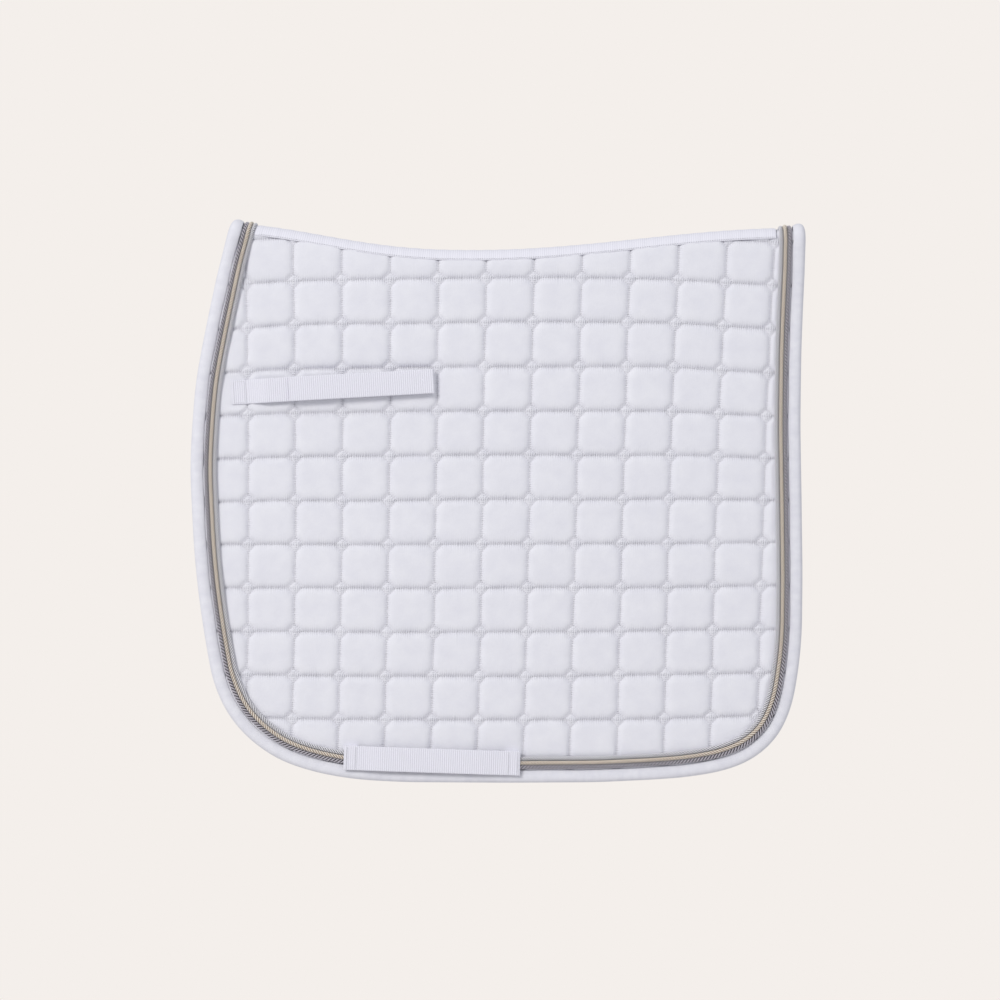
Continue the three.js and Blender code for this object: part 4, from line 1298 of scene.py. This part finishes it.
class SADDLEPAD_OT_billet_straps(PieceOperator, bpy.types.Operator):
    """Webbing strap at the front of each flap, folded back on its hook and loop tapes"""
    bl_idname = "saddle_pad.billet_straps"
    bl_label = "Billet Straps"

    def build(self, name, side, sizes, colours):
        webbing = ribbed_webbing("Webbing", colours.webbing, sizes)
        sewn = ribbon(name + "_billet_sewn_tab", BILLET_ORIGIN, BILLET_TILT, side,
                      np.array([[-0.6, 14.1], [3.0, 14.25], [BILLET_SEWN - 0.2, 14.25]]), 1.3,
                              STRAP_WIDE, sizes)
        finish_piece(sewn, webbing, (name + "_billet_sewn_end",))
        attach(sewn, name + "_flap")
        corners = [(2.2, -10.8), (13.2, -10.8), (13.2, 10.8), (2.2, 10.8)]
        tubes = np.vstack([stitched_line(BILLET_ORIGIN, BILLET_TILT, side, corners[k],
                corners[(k + 1) % 4],
                                         15.05, 1.6, 0.3) for k in range(4)])
        thread = make_tubes(name + "_billet_thread", list(tubes))
        finish_piece(thread, fuzzy("Strap Thread", colours.thread, 2500.0, 0.0001),
                     (name + "_billet_stitching",))
        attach(thread, name + "_flap")
        s = np.linspace(BILLET_SEWN, BILLET_FOLD, 300)
        rise = 14.25 + (billet_level(s) - 14.25) * smoothstep(0, 24, s - BILLET_SEWN)
        turn = np.linspace(-math.pi / 2, math.pi / 2, 40)[1:-1]
        bend = np.column_stack([BILLET_FOLD + 2.0 * np.cos(turn),
                                billet_level(BILLET_FOLD) + 2 + 2.0 * np.sin(turn)])
        back = np.linspace(BILLET_FOLD, BILLET_FREE, 200)
        droop = billet_level(back) + 4.0 - 0.5 * (1 - smoothstep(0, 12, back - BILLET_FREE))
        centre = np.vstack([np.column_stack([s, rise]), bend, np.column_stack([back, droop])])
        piece = ribbon(name + "_billet_webbing", BILLET_ORIGIN, BILLET_TILT, side, centre, 1.3,
                STRAP_WIDE, sizes)
        finish_piece(piece, webbing,
                (name + "_billet_strap", name + "_billet_strap_end"))
        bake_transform(piece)
        for tape, body, slot, above in (("loop", "_billet_strap", "loop_tape", 1.35),
                                        ("hook", "_billet_end", "hook_tape", 2.6)):
            ends = np.array([67.7, 200.7])
            strip = ribbon(f"{name}_billet_{tape}_strip", BILLET_ORIGIN, BILLET_TILT, side,
                           np.column_stack([ends, billet_level(ends) + above]), 0.9, 20.0,
                                   sizes, rib=0.03)
            finish_piece(strip, fuzzy(tape.title() + " Tape", (0.78, 0.78, 0.80), 1400.0,
                    0.0006),
                         (f"{name}_billet_{tape}_tape",))
            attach(strip, name + body)


FLOOR_Z = -1.0
FLOOR_RADIUS = 1.35
KEY_AT = (-2.9, -4.9, 2.6)
KEY_AIM = (0.0, 0.0, -0.25)
KEY_WIDE = 2.2
KEY_POWER = 176
SURROUNDINGS = 0.64  # strength of the world's light
CAMERA_AT = (0.0031, -3.5, -0.2489)
VIEW_WIDE = 1.033  # metres across the view at the near cover
BACKDROP = (0.905, 0.863, 0.831, 1.0)


class SADDLEPAD_OT_stage(bpy.types.Operator):
    """Camera, pale floor, soft key light and pale surroundings"""
    bl_idname = "saddle_pad.stage"
    bl_label = "Stage"
    bl_options = {"REGISTER", "UNDO"}

    def execute(self, context):
        scene = context.scene
        camera = bpy.data.objects.new("Camera", bpy.data.cameras.new("Camera"))
        scene.collection.objects.link(camera)
        camera.location = CAMERA_AT
        camera.rotation_euler = (math.pi / 2, 0, 0)
        camera.data.sensor_width = 36
        camera.data.lens = 36 * (-CAMERA_AT[1] - COVER_OUT * MM) / VIEW_WIDE
        camera.data.clip_end = 50
        scene.camera = camera
        bpy.ops.object.select_all(action="DESELECT")
        bpy.ops.mesh.primitive_circle_add(vertices=96, radius=FLOOR_RADIUS, fill_type="NGON",
                location=(0, 0, FLOOR_Z))
        floor = bpy.context.active_object
        floor.name = "floor"
        material, t, shader = start_material("Floor", 0.95, 0.0)
        grain = t.add("ShaderNodeTexNoise", {"Scale": 3.0, "Detail": 2.0})
        t.feed(t.add("ShaderNodeTexCoord").outputs["Object"], grain.inputs["Vector"])
        t.feed(t.mix(grain.outputs["Fac"], (0.80, 0.78, 0.76, 1), (0.82, 0.80, 0.78, 1)),
               shader.inputs["Base Color"])
        floor.data.materials.append(material)
        key = bpy.data.lights.new("Key", "AREA")
        key.shape, key.size, key.energy = "DISK", KEY_WIDE, KEY_POWER
        key.color = (1.0, 0.985, 0.96)
        lamp = bpy.data.objects.new("Key", key)
        lamp.location = KEY_AT
        scene.collection.objects.link(lamp)
        aim = np.array(KEY_AIM) - np.array(lamp.location)
        lamp.rotation_euler = track(aim)
        world = bpy.data.worlds.new("Surroundings")
        world.use_nodes = True
        scene.world = world
        t = Tree(world.node_tree)
        light = world.node_tree.nodes["Background"]
        light.inputs["Color"].default_value = (0.93, 0.95, 1.0, 1)
        light.inputs["Strength"].default_value = SURROUNDINGS
        seen = t.add("ShaderNodeBackground", {"Color": BACKDROP, "Strength": 1.0})
        path = t.add("ShaderNodeLightPath")
        blend = t.add("ShaderNodeMixShader")
        t.feed(path.outputs["Is Camera Ray"], blend.inputs["Fac"])
        t.feed(light.outputs[0], blend.inputs[1])
        t.feed(seen.outputs[0], blend.inputs[2])
        t.feed(blend.outputs[0], world.node_tree.nodes["World Output"].inputs["Surface"])
        scene.view_settings.view_transform = "Standard"
        return {"FINISHED"}


def track(aim):
    """Rotation that points a lamp's -Z along a direction."""
    return Vector(aim).to_track_quat("-Z", "Y").to_euler()


class SADDLEPAD_PT_panel(bpy.types.Panel):
    """Sizes, colours and build buttons for the saddle pad"""
    bl_idname = "SADDLEPAD_PT_panel"
    bl_label = "Saddle Pad"
    bl_space_type = "VIEW_3D"
    bl_region_type = "UI"
    bl_category = "Saddle Pad"

    def draw(self, context):
        for group in (context.scene.saddle_pad_sizes, context.scene.saddle_pad_colours):
            box = self.layout.box()
            for key in group.bl_rna.properties.keys():
                if key not in ("rna_type", "name"):
                    box.prop(group, key)
        for operator in BUILDERS:
            self.layout.operator(operator.bl_idname)


BUILDERS = (SADDLEPAD_OT_stage, SADDLEPAD_OT_covers, SADDLEPAD_OT_quilting, SADDLEPAD_OT_foam,
            SADDLEPAD_OT_linings, SADDLEPAD_OT_bindings, SADDLEPAD_OT_cords,
                    SADDLEPAD_OT_spine_tapes,
            SADDLEPAD_OT_girth_straps, SADDLEPAD_OT_billet_straps)
CLASSES = (PadSizes, PadColours) + BUILDERS + (SADDLEPAD_PT_panel,)


def register():
    for cls in CLASSES:
        bpy.utils.register_class(cls)
    bpy.types.Scene.saddle_pad_sizes = bpy.props.PointerProperty(type=PadSizes)
    bpy.types.Scene.saddle_pad_colours = bpy.props.PointerProperty(type=PadColours)


def unregister():
    del bpy.types.Scene.saddle_pad_colours
    del bpy.types.Scene.saddle_pad_sizes
    for cls in reversed(CLASSES):
        bpy.utils.unregister_class(cls)


def main():
    register()
    bpy.ops.saddle_pad.stage()
    bpy.ops.saddle_pad.covers()
    bpy.ops.saddle_pad.quilting()
    bpy.ops.saddle_pad.foam()
    bpy.ops.saddle_pad.linings()
    bpy.ops.saddle_pad.bindings()
    bpy.ops.saddle_pad.cords()
    bpy.ops.saddle_pad.spine_tapes()
    bpy.ops.saddle_pad.girth_straps()
    bpy.ops.saddle_pad.billet_straps()


if __name__ == "__main__":
    main()
